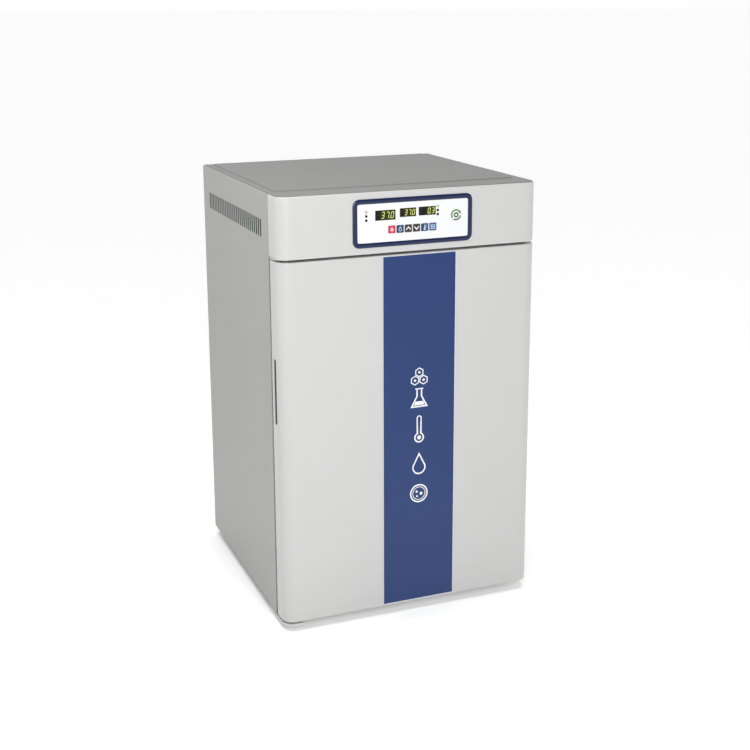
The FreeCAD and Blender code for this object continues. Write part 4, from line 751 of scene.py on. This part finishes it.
def camera():
    """The camera looks from the front left and a little above, from about 2.8 m."""
    azimuth, elevation, roll = math.radians(-21.71), math.radians(13.11), math.radians(-0.22)
    middle = Vector((0, -0.008, 0.46))
    across, above, away = 0.0268, 0.1517, 2.8314
    back = Vector((math.sin(azimuth) * math.cos(elevation), -math.cos(azimuth) * math.cos(elevation),
                   math.sin(elevation)))
    level = Vector((math.cos(azimuth), math.sin(azimuth), 0))
    upright = back.cross(level)
    right = level * math.cos(roll) + upright * math.sin(roll)
    up = upright * math.cos(roll) - level * math.sin(roll)
    data = bpy.data.cameras.new("camera")
    data.lens = 60.74
    data.sensor_width = 36
    data.clip_end = 1000  # beyond the floor's edge
    data.shift_y = -0.10
    holder = bpy.data.objects.new("camera", data)
    bpy.context.scene.collection.objects.link(holder)
    place = middle + right * across + up * above + back * away
    axes = Matrix((right, up, back)).transposed().to_4x4()
    holder.matrix_world = Matrix.Translation(place) @ axes
    bpy.context.scene.camera = holder


def soft_box(name, place, target, side, power):
    """A square white lamp that faces its target."""
    data = bpy.data.lights.new(name, "AREA")
    data.shape = "RECTANGLE"
    data.size = side
    data.size_y = side
    data.energy = power
    holder = bpy.data.objects.new(name, data)
    bpy.context.scene.collection.objects.link(holder)
    holder.location = place
    holder.rotation_mode = "QUATERNION"
    holder.rotation_quaternion = (Vector(target) - Vector(place)).to_track_quat("-Z", "Y")


def lobe(tree, component, strength):
    """Light that comes mostly from one side of the room: the squared positive part of the direction."""
    positive = tree.nodes.new("ShaderNodeMath")
    positive.operation = "MAXIMUM"
    positive.inputs[1].default_value = 0
    tree.links.new(component, positive.inputs[0])
    squared = tree.nodes.new("ShaderNodeMath")
    squared.operation = "POWER"
    squared.inputs[1].default_value = 2
    tree.links.new(positive.outputs["Value"], squared.inputs[0])
    scaled = tree.nodes.new("ShaderNodeMath")
    scaled.operation = "MULTIPLY"
    scaled.inputs[1].default_value = strength
    tree.links.new(squared.outputs["Value"], scaled.inputs[0])
    return scaled.outputs["Value"]


def room(right, back, above):
    """A studio room whose right, back and ceiling are brighter than its left and front."""
    world = bpy.data.worlds.new("studio")
    bpy.context.scene.world = world
    world.use_nodes = True
    tree = world.node_tree
    direction = tree.nodes.new("ShaderNodeTexCoord")
    parts = tree.nodes.new("ShaderNodeSeparateXYZ")
    tree.links.new(direction.outputs["Generated"], parts.inputs["Vector"])
    level = lobe(tree, parts.outputs["X"], right)
    for axis, strength in (("Y", back), ("Z", above)):
        add = tree.nodes.new("ShaderNodeMath")
        tree.links.new(level, add.inputs[0])
        tree.links.new(lobe(tree, parts.outputs[axis], strength), add.inputs[1])
        level = add.outputs["Value"]
    tree.links.new(level, tree.nodes["Background"].inputs["Strength"])
    tree.nodes["Background"].inputs["Color"].default_value = (1, 1, 1, 1)


def lights():
    """A bright room, a broad overhead light, a soft box in front and a weaker one above the left side."""
    room(right=0.88, back=1.04, above=0.18)
    overhead = bpy.data.lights.new("overhead", "SUN")
    overhead.energy = 1.55
    overhead.angle = math.radians(40)
    holder = bpy.data.objects.new("overhead", overhead)
    bpy.context.scene.collection.objects.link(holder)
    soft_box("key", (-0.413, -1.722, 1.1), (0, -0.1, 0.5), side=0.7, power=13.3)
    soft_box("side_fill", (-1.0, -0.3, 1.9), (-0.28, 0, 0.6), side=0.5, power=8.5)


def floor():
    """A pale floor that reaches the horizon."""
    reach = 400
    shape = bmesh.new()
    bmesh.ops.create_circle(shape, cap_ends=True, segments=96, radius=reach)
    piece = from_bmesh("floor", shape)
    material = surface("floor_paint", (0.95, 0.95, 0.95), 0.8, 0.005, grain=40, relief=0.02,
                       Emission_Color=(1, 1, 1, 1), Emission_Strength=0.18)
    piece.data.materials.append(material)


def build():
    dress_cad_nodes()
    panel_bezel()
    displays()
    indicator_lamps()
    key_marks()
    start_button()
    door_marks()
    door_gasket()
    door_edges()
    top_seam()
    cover_screws()
    inlet_blades()
    camera()
    lights()
    floor()
    bpy.context.scene.view_settings.view_transform = "Standard"


build()
